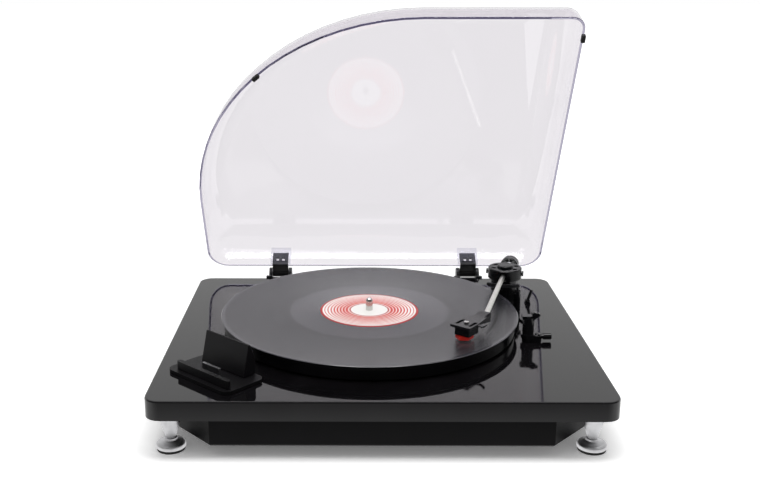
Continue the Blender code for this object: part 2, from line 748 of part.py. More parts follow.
def make_feet(deck):
    """Four turned feet, each with a stud up through the bottom plate into the plinth, on a rubber pad."""
    top = HOUSING_TOP
    neck = top - FOOT_BARREL - FOOT_TAPER
    disc = neck - FOOT_COLLAR
    bottom = disc - FOOT_DISC
    profile = [
        (0, top + STUD_LENGTH), (STUD_RADIUS, top + STUD_LENGTH), (STUD_RADIUS, top),
        (FOOT_TOP_RADIUS, top), (FOOT_TOP_RADIUS, top - FOOT_BARREL),
        (FOOT_NECK_RADIUS, neck), (FOOT_COLLAR_RADIUS, neck), (FOOT_COLLAR_RADIUS, disc),
        (FOOT_DISC_RADIUS - FOOT_COLLAR / 2, disc - FOOT_COLLAR), (FOOT_DISC_RADIUS, disc - FOOT_COLLAR * 1.5),
        (FOOT_DISC_RADIUS, bottom), (0, bottom),
    ]
    pad_top = bottom - CLEARANCE
    pad_profile = cylinder_profile(FOOT_PAD_RADIUS, pad_top - FOOT_PAD, pad_top)
    corners = ["front_left", "front_right", "back_left", "back_right"]
    for corner, (x, y) in zip(corners, foot_places()):
        foot = turned("foot_" + corner, profile, deck, FOOT_STEPS, [(x, y, 0)])
        paint(foot, SILVER, 0.3, 1.0)
        pad = turned("foot_pad_" + corner, pad_profile, deck, FOOT_STEPS, [(x, y, 0)])
        paint(pad, BLACK, 0.8)

# Heights of the platter's stack
HUB_BORE = SPINDLE_RADIUS + CLEARANCE
WEB_BOTTOM = PLATTER_TOP - PLATTER_WEB
MAT_BOTTOM = PLATTER_TOP + CLEARANCE
RECORD_BOTTOM = MAT_BOTTOM + MAT_THICKNESS + CLEARANCE
RECORD_TOP = RECORD_BOTTOM + RECORD_THICKNESS


def ring_profile(inner, outer, low, high):
    return [(inner, low), (outer, low), (outer, high), (inner, high)]


def make_bearing(deck):
    top = -PLINTH_WALL - CLEARANCE
    wall = BEARING_RADIUS
    profile = [
        (0, -BEARING_DEPTH), (wall, -BEARING_DEPTH), (wall, top - FLANGE_THICKNESS),
        (FLANGE_RADIUS, top - FLANGE_THICKNESS), (FLANGE_RADIUS, top), (wall, top), (wall, BEARING_RISE),
        (HUB_BORE, BEARING_RISE), (HUB_BORE, -SPINDLE_DEPTH - CLEARANCE), (0, -SPINDLE_DEPTH - CLEARANCE),
    ]
    bearing = turned("spindle_bearing", profile, deck, ROUND_STEPS, [(PLATTER_X, PLATTER_Y, 0)])
    paint(bearing, (0.75, 0.55, 0.25), 0.3, 1.0)


def make_motor(deck):
    x, y = motor_place()
    top = -PLINTH_WALL - CLEARANCE
    can_top = top - MOTOR_FLANGE
    bore = MOTOR_SHAFT_RADIUS + CLEARANCE
    profile = [
        (0, can_top - MOTOR_HEIGHT), (MOTOR_RADIUS, can_top - MOTOR_HEIGHT), (MOTOR_RADIUS, can_top),
        (MOTOR_FLANGE_RADIUS, can_top), (MOTOR_FLANGE_RADIUS, top), (bore, top),
        (bore, top - MOTOR_SHAFT_DEPTH - CLEARANCE), (0, top - MOTOR_SHAFT_DEPTH - CLEARANCE),
    ]
    motor = turned("drive_motor", profile, deck, ROUND_STEPS, [(x, y, 0)])
    holes = rods("motor_holes", PEG_HOLE, can_top - OVERRUN, top + OVERRUN, motor_peg_places(), deck,
                 SCREW_STEPS)
    paint(cut(motor, holes), SILVER, 0.4, 1.0)


def make_pulley(pulley_axis):
    lip = PULLEY_RADIUS + PULLEY_LIP
    low, high = PULLEY_BOTTOM, PULLEY_BOTTOM + PULLEY_HEIGHT
    bore = MOTOR_SHAFT_RADIUS + CLEARANCE
    profile = [
        (bore, low), (lip, low), (lip, low + PULLEY_LIP_HEIGHT), (PULLEY_RADIUS, low + PULLEY_LIP_HEIGHT),
        (PULLEY_RADIUS, high - PULLEY_LIP_HEIGHT), (lip, high - PULLEY_LIP_HEIGHT), (lip, high), (bore, high),
    ]
    paint(turned("motor_pulley", profile, pulley_axis), SILVER, 0.3, 1.0)
    bottom = -PLINTH_WALL - CLEARANCE - MOTOR_SHAFT_DEPTH
    shaft = rods("motor_shaft", MOTOR_SHAFT_RADIUS, bottom, high, [(0, 0)], pulley_axis)
    paint(shaft, SILVER, 0.25, 1.0)


def belt_outline(offset):
    """The loop that lies the same distance outside the platter's ring and outside the pulley."""
    big, small = BELT_RING_RADIUS + offset, PULLEY_RADIUS + offset
    lean = math.acos((big - small) / MOTOR_REACH)
    facing = MOTOR_BEARING_ANGLE
    points = arc((PLATTER_X, PLATTER_Y), big, facing + lean, facing + FULL_TURN - lean, DISC_STEPS * 2 // 3)
    return points + arc(motor_place(), small, facing - lean, facing + lean, SMALL_STEPS // 2)


def make_belt(deck):
    inner, outer = belt_outline(CLEARANCE), belt_outline(CLEARANCE + BELT_THICKNESS)
    low, high = BELT_BOTTOM, BELT_BOTTOM + BELT_WIDTH
    rings = [at_height(inner, low), at_height(outer, low), at_height(outer, high), at_height(inner, high)]
    paint(loft("drive_belt", rings, deck, closed=True), BLACK, 0.7)


def make_platter(platter_axis):
    skirt = PLATTER_RADIUS - PLATTER_SKIRT
    ring = BELT_RING_RADIUS - BELT_RING_WALL
    low = PLATTER_GROUND_GAP
    profile = [
        (HUB_BORE, PLATTER_TOP), (PLATTER_RADIUS - PLATTER_EDGE, PLATTER_TOP),
        (PLATTER_RADIUS, PLATTER_TOP - PLATTER_EDGE), (PLATTER_RADIUS, low), (skirt, low), (skirt, WEB_BOTTOM),
        (BELT_RING_RADIUS, WEB_BOTTOM), (BELT_RING_RADIUS, BELT_RING_BOTTOM), (ring, BELT_RING_BOTTOM),
        (ring, WEB_BOTTOM), (HUB_RADIUS, WEB_BOTTOM), (HUB_RADIUS, BELT_RING_BOTTOM),
        (HUB_BORE, BELT_RING_BOTTOM),
    ]
    paint(turned("platter", profile, platter_axis, DISC_STEPS), SILVER, 0.3, 1.0)
    top = RECORD_TOP + SPINDLE_RISE
    profile = [
        (0, -SPINDLE_DEPTH), (SPINDLE_RADIUS, -SPINDLE_DEPTH), (SPINDLE_RADIUS, top - SPINDLE_CHAMFER * 2),
        (SPINDLE_RADIUS - SPINDLE_CHAMFER / 2, top - SPINDLE_CHAMFER / 2),
        (SPINDLE_RADIUS - SPINDLE_CHAMFER, top), (0, top),
    ]
    paint(turned("platter_spindle", profile, platter_axis, SMALL_STEPS + CORNER_STEPS), SILVER, 0.2, 1.0)
    mat = ring_profile(HUB_BORE, MAT_RADIUS, MAT_BOTTOM, MAT_BOTTOM + MAT_THICKNESS)
    paint(turned("slipmat", mat, platter_axis, DISC_STEPS), CHARCOAL, 0.9)
    record = [(HUB_BORE, RECORD_BOTTOM), (RECORD_RADIUS, RECORD_BOTTOM),
              (RECORD_RADIUS, RECORD_TOP - LABEL_RISE), (LABEL_RADIUS + LABEL_RISE, RECORD_TOP - LABEL_RISE),
              (LABEL_RADIUS, RECORD_TOP), (HUB_BORE, RECORD_TOP)]
    paint(turned("vinyl_record", record, platter_axis, DISC_STEPS), BLACK, 0.25)


# Circuit board in the under housing, its rear edge at the rear wall
HOUSING_REAR = HOUSING_DEPTH / 2
BOARD_BACK = HOUSING_REAR - HOUSING_WALL - CLEARANCE
BOARD_LOW = HOUSING_BOTTOM + HOUSING_WALL + BOARD_POST + CLEARANCE
BOARD_HIGH = BOARD_LOW + BOARD_THICKNESS
SOCKET_FLOOR = BOARD_HIGH + CLEARANCE
SOCKET_BACK = HOUSING_REAR + CLEARANCE


def board_peg_places():
    x = BOARD_WIDTH / 2 - BOARD_INSET
    middle = BOARD_BACK - BOARD_DEPTH / 2
    y = BOARD_DEPTH / 2 - BOARD_INSET
    return [(BOARD_X + side * x, middle + end * y) for side in (-1, 1) for end in (-1, 1)]


def socket_x(number):
    """Power inlet, data socket and audio sockets stand in a row, seen from behind."""
    return BOARD_X + (number - 1) * SOCKET_SPACING


def socket_block(name, x, width, height, parent):
    low = (x - width / 2, SOCKET_BACK - SOCKET_DEPTH, SOCKET_FLOOR)
    return box(name, low, (x + width / 2, SOCKET_BACK, SOCKET_FLOOR + height), parent)


def socket_opening(name, x, width, height, parent):
    """The hole in the rear wall that a socket passes through."""
    side = width / 2 + CLEARANCE
    low = (x - side, HOUSING_REAR - HOUSING_WALL - OVERRUN, SOCKET_FLOOR - CLEARANCE)
    return box(name, low, (x + side, HOUSING_REAR + OVERRUN, SOCKET_FLOOR + height + CLEARANCE), parent)


def socket_openings(parent):
    return [
        socket_opening("inlet_opening", socket_x(0), INLET_WIDTH, INLET_HEIGHT, parent),
        socket_opening("data_opening", socket_x(1), USB_WIDTH, USB_HEIGHT, parent),
        socket_opening("audio_opening", socket_x(2), AUDIO_WIDTH, AUDIO_HEIGHT, parent),
    ]


def rear_rods(name, radius, length, start, places, parent):
    """Rods that run rearwards from a depth; places are (x, z)."""
    profile = cylinder_profile(radius, 0, length)
    bm = bmesh.new()
    for x, z in places:
        add_turned(bm, profile, SMALL_STEPS, (x, z, 0))
    made = from_bmesh(name, bm, parent)
    turn = Matrix(((1, 0, 0, 0), (0, 0, 1, start), (0, 1, 0, 0), (0, 0, 0, 1)))
    made.data.transform(turn)
    made.data.flip_normals()
    return made


def make_sockets(deck):
    inlet = socket_block("power_inlet", socket_x(0), INLET_WIDTH, INLET_HEIGHT, deck)
    inside = SOCKET_BACK - SOCKET_DEPTH + SOCKET_WALL
    bore = rear_rods("inlet_bore", INLET_BORE_RADIUS, SOCKET_DEPTH, inside,
                     [(socket_x(0), SOCKET_FLOOR + INLET_HEIGHT / 2)], deck)
    paint(cut(inlet, bore), BLACK, 0.4)
    data = socket_block("usb_socket", socket_x(1), USB_WIDTH, USB_HEIGHT, deck)
    side = USB_WIDTH / 2 - SOCKET_WALL
    mouth = box("usb_mouth", (socket_x(1) - side, inside, SOCKET_FLOOR + SOCKET_WALL),
                (socket_x(1) + side, SOCKET_BACK + OVERRUN, SOCKET_FLOOR + USB_HEIGHT - SOCKET_WALL), deck)
    paint(cut(data, mouth), SILVER, 0.3, 1.0)
    audio = socket_block("rca_sockets", socket_x(2), AUDIO_WIDTH, AUDIO_HEIGHT, deck)
    middle = SOCKET_FLOOR + AUDIO_HEIGHT / 2
    places = [(socket_x(2) + side * AUDIO_PITCH / 2, middle) for side in (-1, 1)]
    barrels = rear_rods("rca_barrels", AUDIO_BARREL_RADIUS, AUDIO_BARREL_LENGTH + FUSE, SOCKET_BACK - FUSE,
                        places, deck)
    bores = rear_rods("rca_bores", AUDIO_BORE_RADIUS, AUDIO_BARREL_LENGTH * 2, SOCKET_BACK - SOCKET_WALL,
                      places, deck)
    join(audio, barrels)
    paint(cut(audio, bores), BLACK, 0.35)


# Chips and capacitors: place along and across the board, then width and depth, as shares of it
CHIP_SHARES = [(-0.1, -0.2, 0.12, 0.16), (0.2, -0.1, 0.08, 0.1), (0.1, -0.32, 0.1, 0.08)]
CAPACITOR_SHARES = [(-0.34, -0.05), (-0.22, -0.05), (0.36, -0.12)]


def make_board(deck):
    """The board with what is soldered on it."""
    middle = BOARD_BACK - BOARD_DEPTH / 2
    board = prism("main_board", rectangle(BOARD_WIDTH, BOARD_DEPTH, (BOARD_X, middle)), BOARD_LOW, BOARD_HIGH,
                  deck)
    holes = rods("board_holes", PEG_HOLE, BOARD_LOW - OVERRUN, BOARD_HIGH + OVERRUN, board_peg_places(), deck,
                 SCREW_STEPS)
    base = BOARD_HIGH - BOARD_THICKNESS / 2
    bm = bmesh.new()
    for along, across, width, depth in CHIP_SHARES:
        chip = rectangle(BOARD_WIDTH * width, BOARD_DEPTH * depth,
                         (BOARD_X + BOARD_WIDTH * along, middle + BOARD_DEPTH * across))
        add_loft(bm, [at_height(chip, base), at_height(chip, BOARD_HIGH + CHIP_HEIGHT)])
    for along, across in CAPACITOR_SHARES:
        add_turned(bm, cylinder_profile(CAPACITOR_RADIUS, base, BOARD_HIGH + CAPACITOR_HEIGHT), SCREW_STEPS,
                   (BOARD_X + BOARD_WIDTH * along, middle + BOARD_DEPTH * across, 0))
    join(board, from_bmesh("board_components", bm, deck))
    paint(cut(board, holes), GREEN, 0.4)


def tube(name, points, radius, parent):
    """A round lead through a few points, faceted, with its ends closed."""
    curve = bpy.data.curves.new(name, "CURVE")
    curve.dimensions = "3D"
    curve.bevel_depth = radius
    curve.bevel_resolution = 2
    curve.use_fill_caps = True
    line = curve.splines.new("POLY")
    line.points.add(len(points) - 1)
    for point, place in zip(line.points, points):
        point.co = (*place, 1)
    return new_object(name, curve, parent)


def smooth_route(route, steps):
    """Points on a smooth curve through the route's own points, worked out on each stretch in turn."""
    knots = [Vector(point) for point in route]
    knots = [knots[0] * 2 - knots[1]] + knots + [knots[-1] * 2 - knots[-2]]
    points = []
    for a, b, c, d in zip(knots, knots[1:], knots[2:], knots[3:]):
        for step in range(steps):
            t = step / steps
            points.append((b * 2 + (c - a) * t + (a * 2 - b * 5 + c * 4 - d) * t ** 2
                           + (b * 3 - a - c * 3 + d) * t ** 3) / 2)
    points.append(knots[-2])
    return points

# The hinge axis, in the deck's frame
HINGE_Y = PLINTH_DEPTH / 2 + HINGE_BEHIND
HINGE_Z = HINGE_RISE


def lid_ring(inset, height):
    """The lid's outline at a height over its rim, closed and seen from its hinge axis.

    Three rounded corners keep their centres while their radius shrinks with the inset, down to the
    smallest corner, and the fourth is a quarter circle that takes up most of the left and front sides.
    """
    back, front = -LID_BACK - inset, -LID_BACK - LID_LENGTH + inset
    left, right = -LID_LEFT + inset, LID_RIGHT - inset
    back_corner = max(LID_BACK_CORNER - inset, LID_SMALLEST_CORNER)
    front_corner = max(LID_FRONT_CORNER - inset, LID_SMALLEST_CORNER)
    big_corner = LID_BIG_CORNER - inset
    points = arc((right - back_corner, back - back_corner), back_corner, 0, QUARTER_TURN, CORNER_STEPS)
    points += arc((left + back_corner, back - back_corner), back_corner, QUARTER_TURN, 2 * QUARTER_TURN,
                  CORNER_STEPS)
    points += arc((left + big_corner, front + big_corner), big_corner, 2 * QUARTER_TURN, 3 * QUARTER_TURN,
                  ARC_STEPS)
    points += arc((right - front_corner, front + front_corner), front_corner, 3 * QUARTER_TURN,
                  4 * QUARTER_TURN, CORNER_STEPS)
    return at_height(points, LID_RIM_RISE + height)


def lid_profile(wall):
    """(inset, height) pairs up one side of the lid, for its outer face or, with a wall, its inner face."""
    straight = LID_DEPTH - LID_FILLET
    centre = (LID_DRAFT + LID_FILLET, straight)
    pairs = [(wall, 0)]
    for inset, height in arc(centre, LID_FILLET - wall, 2 * QUARTER_TURN, QUARTER_TURN, CORNER_STEPS):
        pairs.append((inset, height))
    return pairs


def make_lid(lid_axis):
    inner = [lid_ring(inset, height) for inset, height in reversed(lid_profile(LID_WALL))]
    outer = [lid_ring(inset, height) for inset, height in lid_profile(0)]
    lid = loft("lid_shell", inner + outer, lid_axis)
    paint(lid, CLEAR, 0.02, 0.0, 0.3)


def lid_inner_face(height):
    """How far the inner face of the lid's back wall lies in front of its outer rim edge."""
    straight = LID_DEPTH - LID_FILLET
    if height <= straight:
        return LID_WALL + LID_DRAFT * height / straight
    inner = LID_FILLET - LID_WALL
    return LID_DRAFT + LID_FILLET - math.sqrt(inner ** 2 - (height - straight) ** 2)


def make_lid_socket(name, x, lid_axis):
    """A glued-on block, open below and at the back, that takes a hinge's tongue."""
    tongue_front = LEAF_REACH + CLEARANCE - LID_BACK
    front = tongue_front + SOCKET_BLOCK_FRONT
    tallest = SOCKET_BLOCK_HEIGHT
    heights = [0, LID_DEPTH - LID_FILLET, (LID_DEPTH - LID_FILLET + tallest) / 2, tallest]
    profile = [(-LID_BACK - lid_inner_face(h) - CLEARANCE, LID_RIM_RISE + h) for h in heights]
    profile += [(-LID_BACK - front, LID_RIM_RISE + tallest), (-LID_BACK - front, LID_RIM_RISE)]
    half = SOCKET_BLOCK_WIDTH / 2
    socket = side_prism(name, profile, x - half, x + half, lid_axis)
    half = LEAF_WIDTH / 2 + CLEARANCE
    low, high = LID_RIM_RISE - OVERRUN, LID_RIM_RISE + TONGUE_RISE + CLEARANCE
    outline = [(-LID_BACK, low), (-LID_BACK - tongue_front, low), (-LID_BACK - tongue_front, high),
               (-LID_BACK, high)]
    paint(cut(socket, side_prism(name + "_slot", outline, x - half, x + half, lid_axis)), CLEAR, 0.05, 0.0, 0.4)


def make_bumpers(lid_axis):
    """Two rubber blocks under the rim, the height of the gap between rim and deck when it is shut."""
    rim_height = HINGE_Z + LID_RIM_RISE
    low, high = -rim_height + LID_RIM_RISE + CLEARANCE, LID_RIM_RISE - CLEARANCE
    big_x, big_y = -LID_LEFT + LID_BIG_CORNER, -LID_BACK - LID_LENGTH + LID_BIG_CORNER
    wall_middle = LID_BIG_CORNER - LID_WALL / 2
    down = -LID_BACK - BUMPER_ALONG - big_y
    across = -math.sqrt(wall_middle ** 2 - down ** 2)
    spin = Matrix.Rotation(math.atan2(down, across), 2)
    left = [tuple(spin @ Vector(point) + Vector((big_x + across, big_y + down)))
            for point in rectangle(BUMPER_THICKNESS, BUMPER_WIDTH)]
    right = rectangle(BUMPER_THICKNESS, BUMPER_WIDTH,
                      (LID_RIGHT - LID_WALL / 2, -LID_BACK - BUMPER_RIGHT_ALONG))
    paint(prism("lid_bumper_left", left, low, high, lid_axis), BLACK, 0.8)
    paint(prism("lid_bumper_right", right, low, high, lid_axis), BLACK, 0.8)


def sideways(profile, places, name, parent, steps=SMALL_STEPS):
    """Turned solids whose axis runs along X, each centred on its place."""
    bm = bmesh.new()
    for x in places:
        add_turned(bm, profile, steps, (0, 0, x))
    made = from_bmesh(name, bm, parent)
    made.data.transform(Matrix.Rotation(QUARTER_TURN, 4, "Y"))
    return made


def make_hinge_leaf(name, x, lid_axis):
    """Knuckle on the pin, arm forward under the lid's rim, and a tongue up into the lid's socket."""
    top = LEAF_THICKNESS - LEAF_DROP
    tip = LID_RIM_RISE + TONGUE_RISE
    bend = LEAF_REACH - TONGUE_THICKNESS
    profile = [(0, -LEAF_DROP), (0, top), (-bend, top), (-bend, tip), (-LEAF_REACH, tip),
               (-LEAF_REACH, -LEAF_DROP)]
    half = LEAF_WIDTH / 2
    leaf = side_prism(name, profile, x - half, x + half, lid_axis)
    knuckle = sideways(cylinder_profile(KNUCKLE_RADIUS, -half, half), [x], name + "_knuckle", lid_axis,
                       ROUND_STEPS * 2 // 3)
    bore_half = HINGE_WIDTH / 2 + OVERRUN
    bore = sideways(cylinder_profile(HINGE_PIN_RADIUS + CLEARANCE, -bore_half, bore_half), [x],
                    name + "_bore", lid_axis)
    low = LID_RIM_RISE + TONGUE_HOLE_START
    bm = bmesh.new()
    for side in (-1, 1):
        middle = x + side * TONGUE_HOLE_PITCH / 2
        outline = rectangle(TONGUE_HOLE_WIDTH, TONGUE_THICKNESS + 2 * OVERRUN,
                            (middle, -LEAF_REACH + TONGUE_THICKNESS / 2))
        add_loft(bm, [at_height(outline, low), at_height(outline, low + TONGUE_HOLE_HEIGHT)])
    windows = from_bmesh(name + "_windows", bm, lid_axis)
    join(leaf, knuckle)
    paint(cut(leaf, bore, windows), CHARCOAL, 0.45)


def make_hinge_base(name, x, deck):
    """Plate screwed behind the plinth, with two cheeks that hold the pin."""
    front = PLINTH_DEPTH / 2 + CLEARANCE
    back = front + HINGE_PLATE
    low = -HINGE_PLATE_DROP
    half = HINGE_WIDTH / 2
    plate = side_prism(name, [(front, low), (back, low), (back, 0), (front, 0)], x - half, x + half, deck)
    tab_half = HINGE_TAB_WIDTH / 2
    tab_low = HINGE_RISE - HINGE_TAB_HEIGHT
    inner = LEAF_WIDTH / 2 + CLEARANCE
    cheek = [(front, low), (back, low)]
    cheek += arc((HINGE_Y, HINGE_Z), HINGE_CHEEK_RADIUS, -QUARTER_TURN / 3, 5 * QUARTER_TURN / 3, ARC_STEPS // 2)
    cheek += [(back, HINGE_RISE), (front, HINGE_RISE)]
    bm = bmesh.new()
    for side in (-1, 1):
        ends = sorted((x + side * inner, x + side * half))
        add_loft(bm, [[(end, y, z) for y, z in cheek] for end in ends])
    join(plate, from_bmesh(name + "_cheeks", bm, deck))
    bm = bmesh.new()
    for side in (-1, 1):
        ends = sorted((x + side * (half - FUSE), x + side * tab_half))
        tab = [(front, tab_low), (back, tab_low), (back, HINGE_RISE), (front, HINGE_RISE)]
        add_loft(bm, [[(end, y, z) for y, z in tab] for end in ends])
    join(plate, from_bmesh(name + "_tabs", bm, deck))
    bore_half = HINGE_TAB_WIDTH / 2 + OVERRUN
    bore = sideways(cylinder_profile(HINGE_PIN_RADIUS + CLEARANCE, -bore_half, bore_half), [x],
                    name + "_bore", deck)
    bore.data.transform(Matrix.Translation((0, HINGE_Y, HINGE_Z)))
    join(plate, forward_rods(name + "_pegs", PEG_RADIUS, front + FUSE, FUSE + PLINTH_WALL + PEG_PROUD,
                             hinge_peg_spots(x), deck))
    paint(cut(plate, bore), BLACK, 0.4)


def make_hinges(deck, lid_axis):
    half = HINGE_WIDTH / 2
    for side, x in zip(("left", "right"), hinge_places()):
        make_hinge_base("hinge_base_" + side, x, deck)
        make_hinge_leaf("hinge_leaf_" + side, x, lid_axis)
        make_lid_socket("lid_socket_" + side, x, lid_axis)
        pin = sideways(cylinder_profile(HINGE_PIN_RADIUS, -half, half), [x], "hinge_pin_" + side, deck)
        pin.data.transform(Matrix.Translation((0, HINGE_Y, HINGE_Z)))
        paint(pin, SILVER, 0.3, 1.0)

# Heights along the tonearm, measured from the deck
ARM_SLOPE = math.atan2(ARM_DROP, TUBE_LENGTH)
COLUMN_TOP = DRUM_BOTTOM - 2 * CLEARANCE
HEADSHELL_TOP_LOCAL = HEADSHELL_TOP - (ARM_AXIS_HEIGHT - ARM_DROP)
HEADSHELL_UNDER = HEADSHELL_TOP_LOCAL - HEADSHELL_THICKNESS


def tube_height(distance):
    """Height of the tube's axis over the deck, at a distance in front of the pivot."""
    return ARM_AXIS_HEIGHT - ARM_DROP * distance / TUBE_LENGTH


def make_arm_base(deck):
    bore = CARRIER_SHAFT_RADIUS + CLEARANCE
    profile = [
        (0, CLEARANCE), (COLUMN_FLANGE_RADIUS, CLEARANCE), (COLUMN_FLANGE_RADIUS, COLUMN_FLANGE),
        (COLUMN_RADIUS, COLUMN_FLANGE + CLEARANCE), (COLUMN_RADIUS, COLUMN_TOP), (bore, COLUMN_TOP),
        (bore, COLUMN_FLOOR), (0, COLUMN_FLOOR),
    ]
    column = turned("arm_base", profile, deck, ROUND_STEPS, [(ARM_X, ARM_Y, 0)])
    paint(join(column, pegs("arm_base_pegs", arm_peg_places(), deck)), BLACK, 0.25)


def make_gimbal(arm_yaw):
    inner = DRUM_RADIUS - DRUM_WALL
    roof = DRUM_TOP - DRUM_ROOF
    profile = [
        (0, roof), (inner, roof), (inner, DRUM_BOTTOM), (DRUM_RADIUS, DRUM_BOTTOM),
        (DRUM_RADIUS, DRUM_TOP - DRUM_BEVEL), (DRUM_RADIUS - DRUM_BEVEL, DRUM_TOP),
        (DRUM_BOSS_RADIUS, DRUM_TOP), (DRUM_BOSS_RADIUS - DRUM_BEVEL, DRUM_TOP + DRUM_BOSS_HEIGHT),
        (0, DRUM_TOP + DRUM_BOSS_HEIGHT),
    ]
    drum = turned("arm_gimbal", profile, arm_yaw)
    half = DRUM_WINDOW / 2
    reach = DRUM_RADIUS + OVERRUN
    window = box("gimbal_windows", (-half, -reach, DRUM_BOTTOM - OVERRUN), (half, reach, roof - CLEARANCE / 3),
                 arm_yaw)
    recess_circle = (DRUM_RADIUS - DRUM_BEVEL + DRUM_BOSS_RADIUS) / 2
    recess_radius = (DRUM_RADIUS - DRUM_BEVEL - DRUM_BOSS_RADIUS) * RECESS_SHARE
    places = around((0, 0), recess_circle, 6, QUARTER_TURN / 3)
    recesses = rods("gimbal_recesses", recess_radius, DRUM_TOP - DRUM_RECESS_DEPTH, DRUM_TOP + OVERRUN, places,
                    arm_yaw)
    pivot_hole = sideways(cylinder_profile(PIVOT_SCREW_RADIUS + CLEARANCE, -reach, reach), [0],
                          "gimbal_pivot_holes", arm_yaw)
    pivot_hole.data.transform(Matrix.Translation((0, 0, ARM_AXIS_HEIGHT)))
    paint(cut(drum, window, recesses, pivot_hole), BLACK, 0.25)

    shaft_end = COLUMN_FLOOR + CLEARANCE
    carrier = [
        (0, shaft_end), (CARRIER_SHAFT_RADIUS, shaft_end), (CARRIER_SHAFT_RADIUS, DRUM_BOTTOM),
        (inner - CLEARANCE, DRUM_BOTTOM), (inner - CLEARANCE, DRUM_BOTTOM + CARRIER_THICKNESS),
        (0, DRUM_BOTTOM + CARRIER_THICKNESS),
    ]
    paint(turned("gimbal_shaft", carrier, arm_yaw), SILVER, 0.3, 1.0)

    tip = BLOCK_WIDTH / 2 - PIVOT_SCREW_RADIUS
    seat = DRUM_RADIUS + CLEARANCE
    pivot = [(0, tip), (PIVOT_SCREW_RADIUS, tip), (PIVOT_SCREW_RADIUS, seat), (PIVOT_HEAD_RADIUS, seat),
             (PIVOT_HEAD_RADIUS, seat + PIVOT_HEAD), (0, seat + PIVOT_HEAD)]
    for side, profile in (("left", upside_down(pivot)), ("right", pivot)):
        screw = sideways(profile, [0], "gimbal_pivot_" + side, arm_yaw)
        screw.data.transform(Matrix.Translation((0, 0, ARM_AXIS_HEIGHT)))
        paint(screw, SILVER, 0.3, 1.0)


def upside_down(profile):
    return [(radius, -height) for radius, height in reversed(profile)]


def make_arm(arm_pitch):
    half_x, half_y, half_z = BLOCK_WIDTH / 2, BLOCK_LENGTH / 2, BLOCK_HEIGHT / 2
    block = box("arm_block", (-half_x, -half_y, -half_z), (half_x, half_y, half_z), arm_pitch)
    seat_depth = 2 * PIVOT_SCREW_RADIUS
    seats = []
    for side, name in ((-1, "arm_block_left_seat"), (1, "arm_block_right_seat")):
        middle = side * half_x
        seats.append(sideways(cylinder_profile(PIVOT_SCREW_RADIUS + CLEARANCE, -seat_depth, seat_depth),
                              [middle], name, arm_pitch))
    start = half_y + CLEARANCE
    tube_axis = empty("tube_axis", (0, 0, 0), arm_pitch, (QUARTER_TURN + ARM_SLOPE, 0, 0))
    pipe = ring_profile(TUBE_BORE_RADIUS, TUBE_RADIUS, start, TUBE_LENGTH + TUBE_GRIP)
    paint(turned("arm_tube", pipe, tube_axis, ROUND_STEPS * 2 // 3), SILVER, 0.25, 1.0)

    stub_axis = empty("stub_axis", (0, 0, 0), arm_pitch, (-QUARTER_TURN - REAR_STUB_TILT, 0, 0))
    stub = cylinder_profile(REAR_STUB_RADIUS, half_y / 2, REAR_STUB_LENGTH)
    join(block, turned("arm_rear_stub", stub, stub_axis, SMALL_STEPS))
    paint(cut(block, *seats), SILVER, 0.3, 1.0)
    bore = REAR_STUB_RADIUS + CLEARANCE
    low = DIAL_DISTANCE - DIAL_THICKNESS / 2
    dial = [(bore, low), (DIAL_RADIUS - DIAL_LIP, low), (DIAL_RADIUS, low + DIAL_LIP),
            (DIAL_RADIUS, low + DIAL_THICKNESS), (bore, low + DIAL_THICKNESS)]
    paint(turned("weight_dial", dial, stub_axis), BLACK, 0.35)
    low += DIAL_THICKNESS + CLEARANCE
    high = low + WEIGHT_LENGTH
    weight = [(bore, low), (WEIGHT_RADIUS, low), (WEIGHT_RADIUS, high - WEIGHT_BEVEL),
              (WEIGHT_RADIUS - WEIGHT_BEVEL, high), (bore, high)]
    paint(turned("counterweight", weight, stub_axis), BLACK, 0.3)


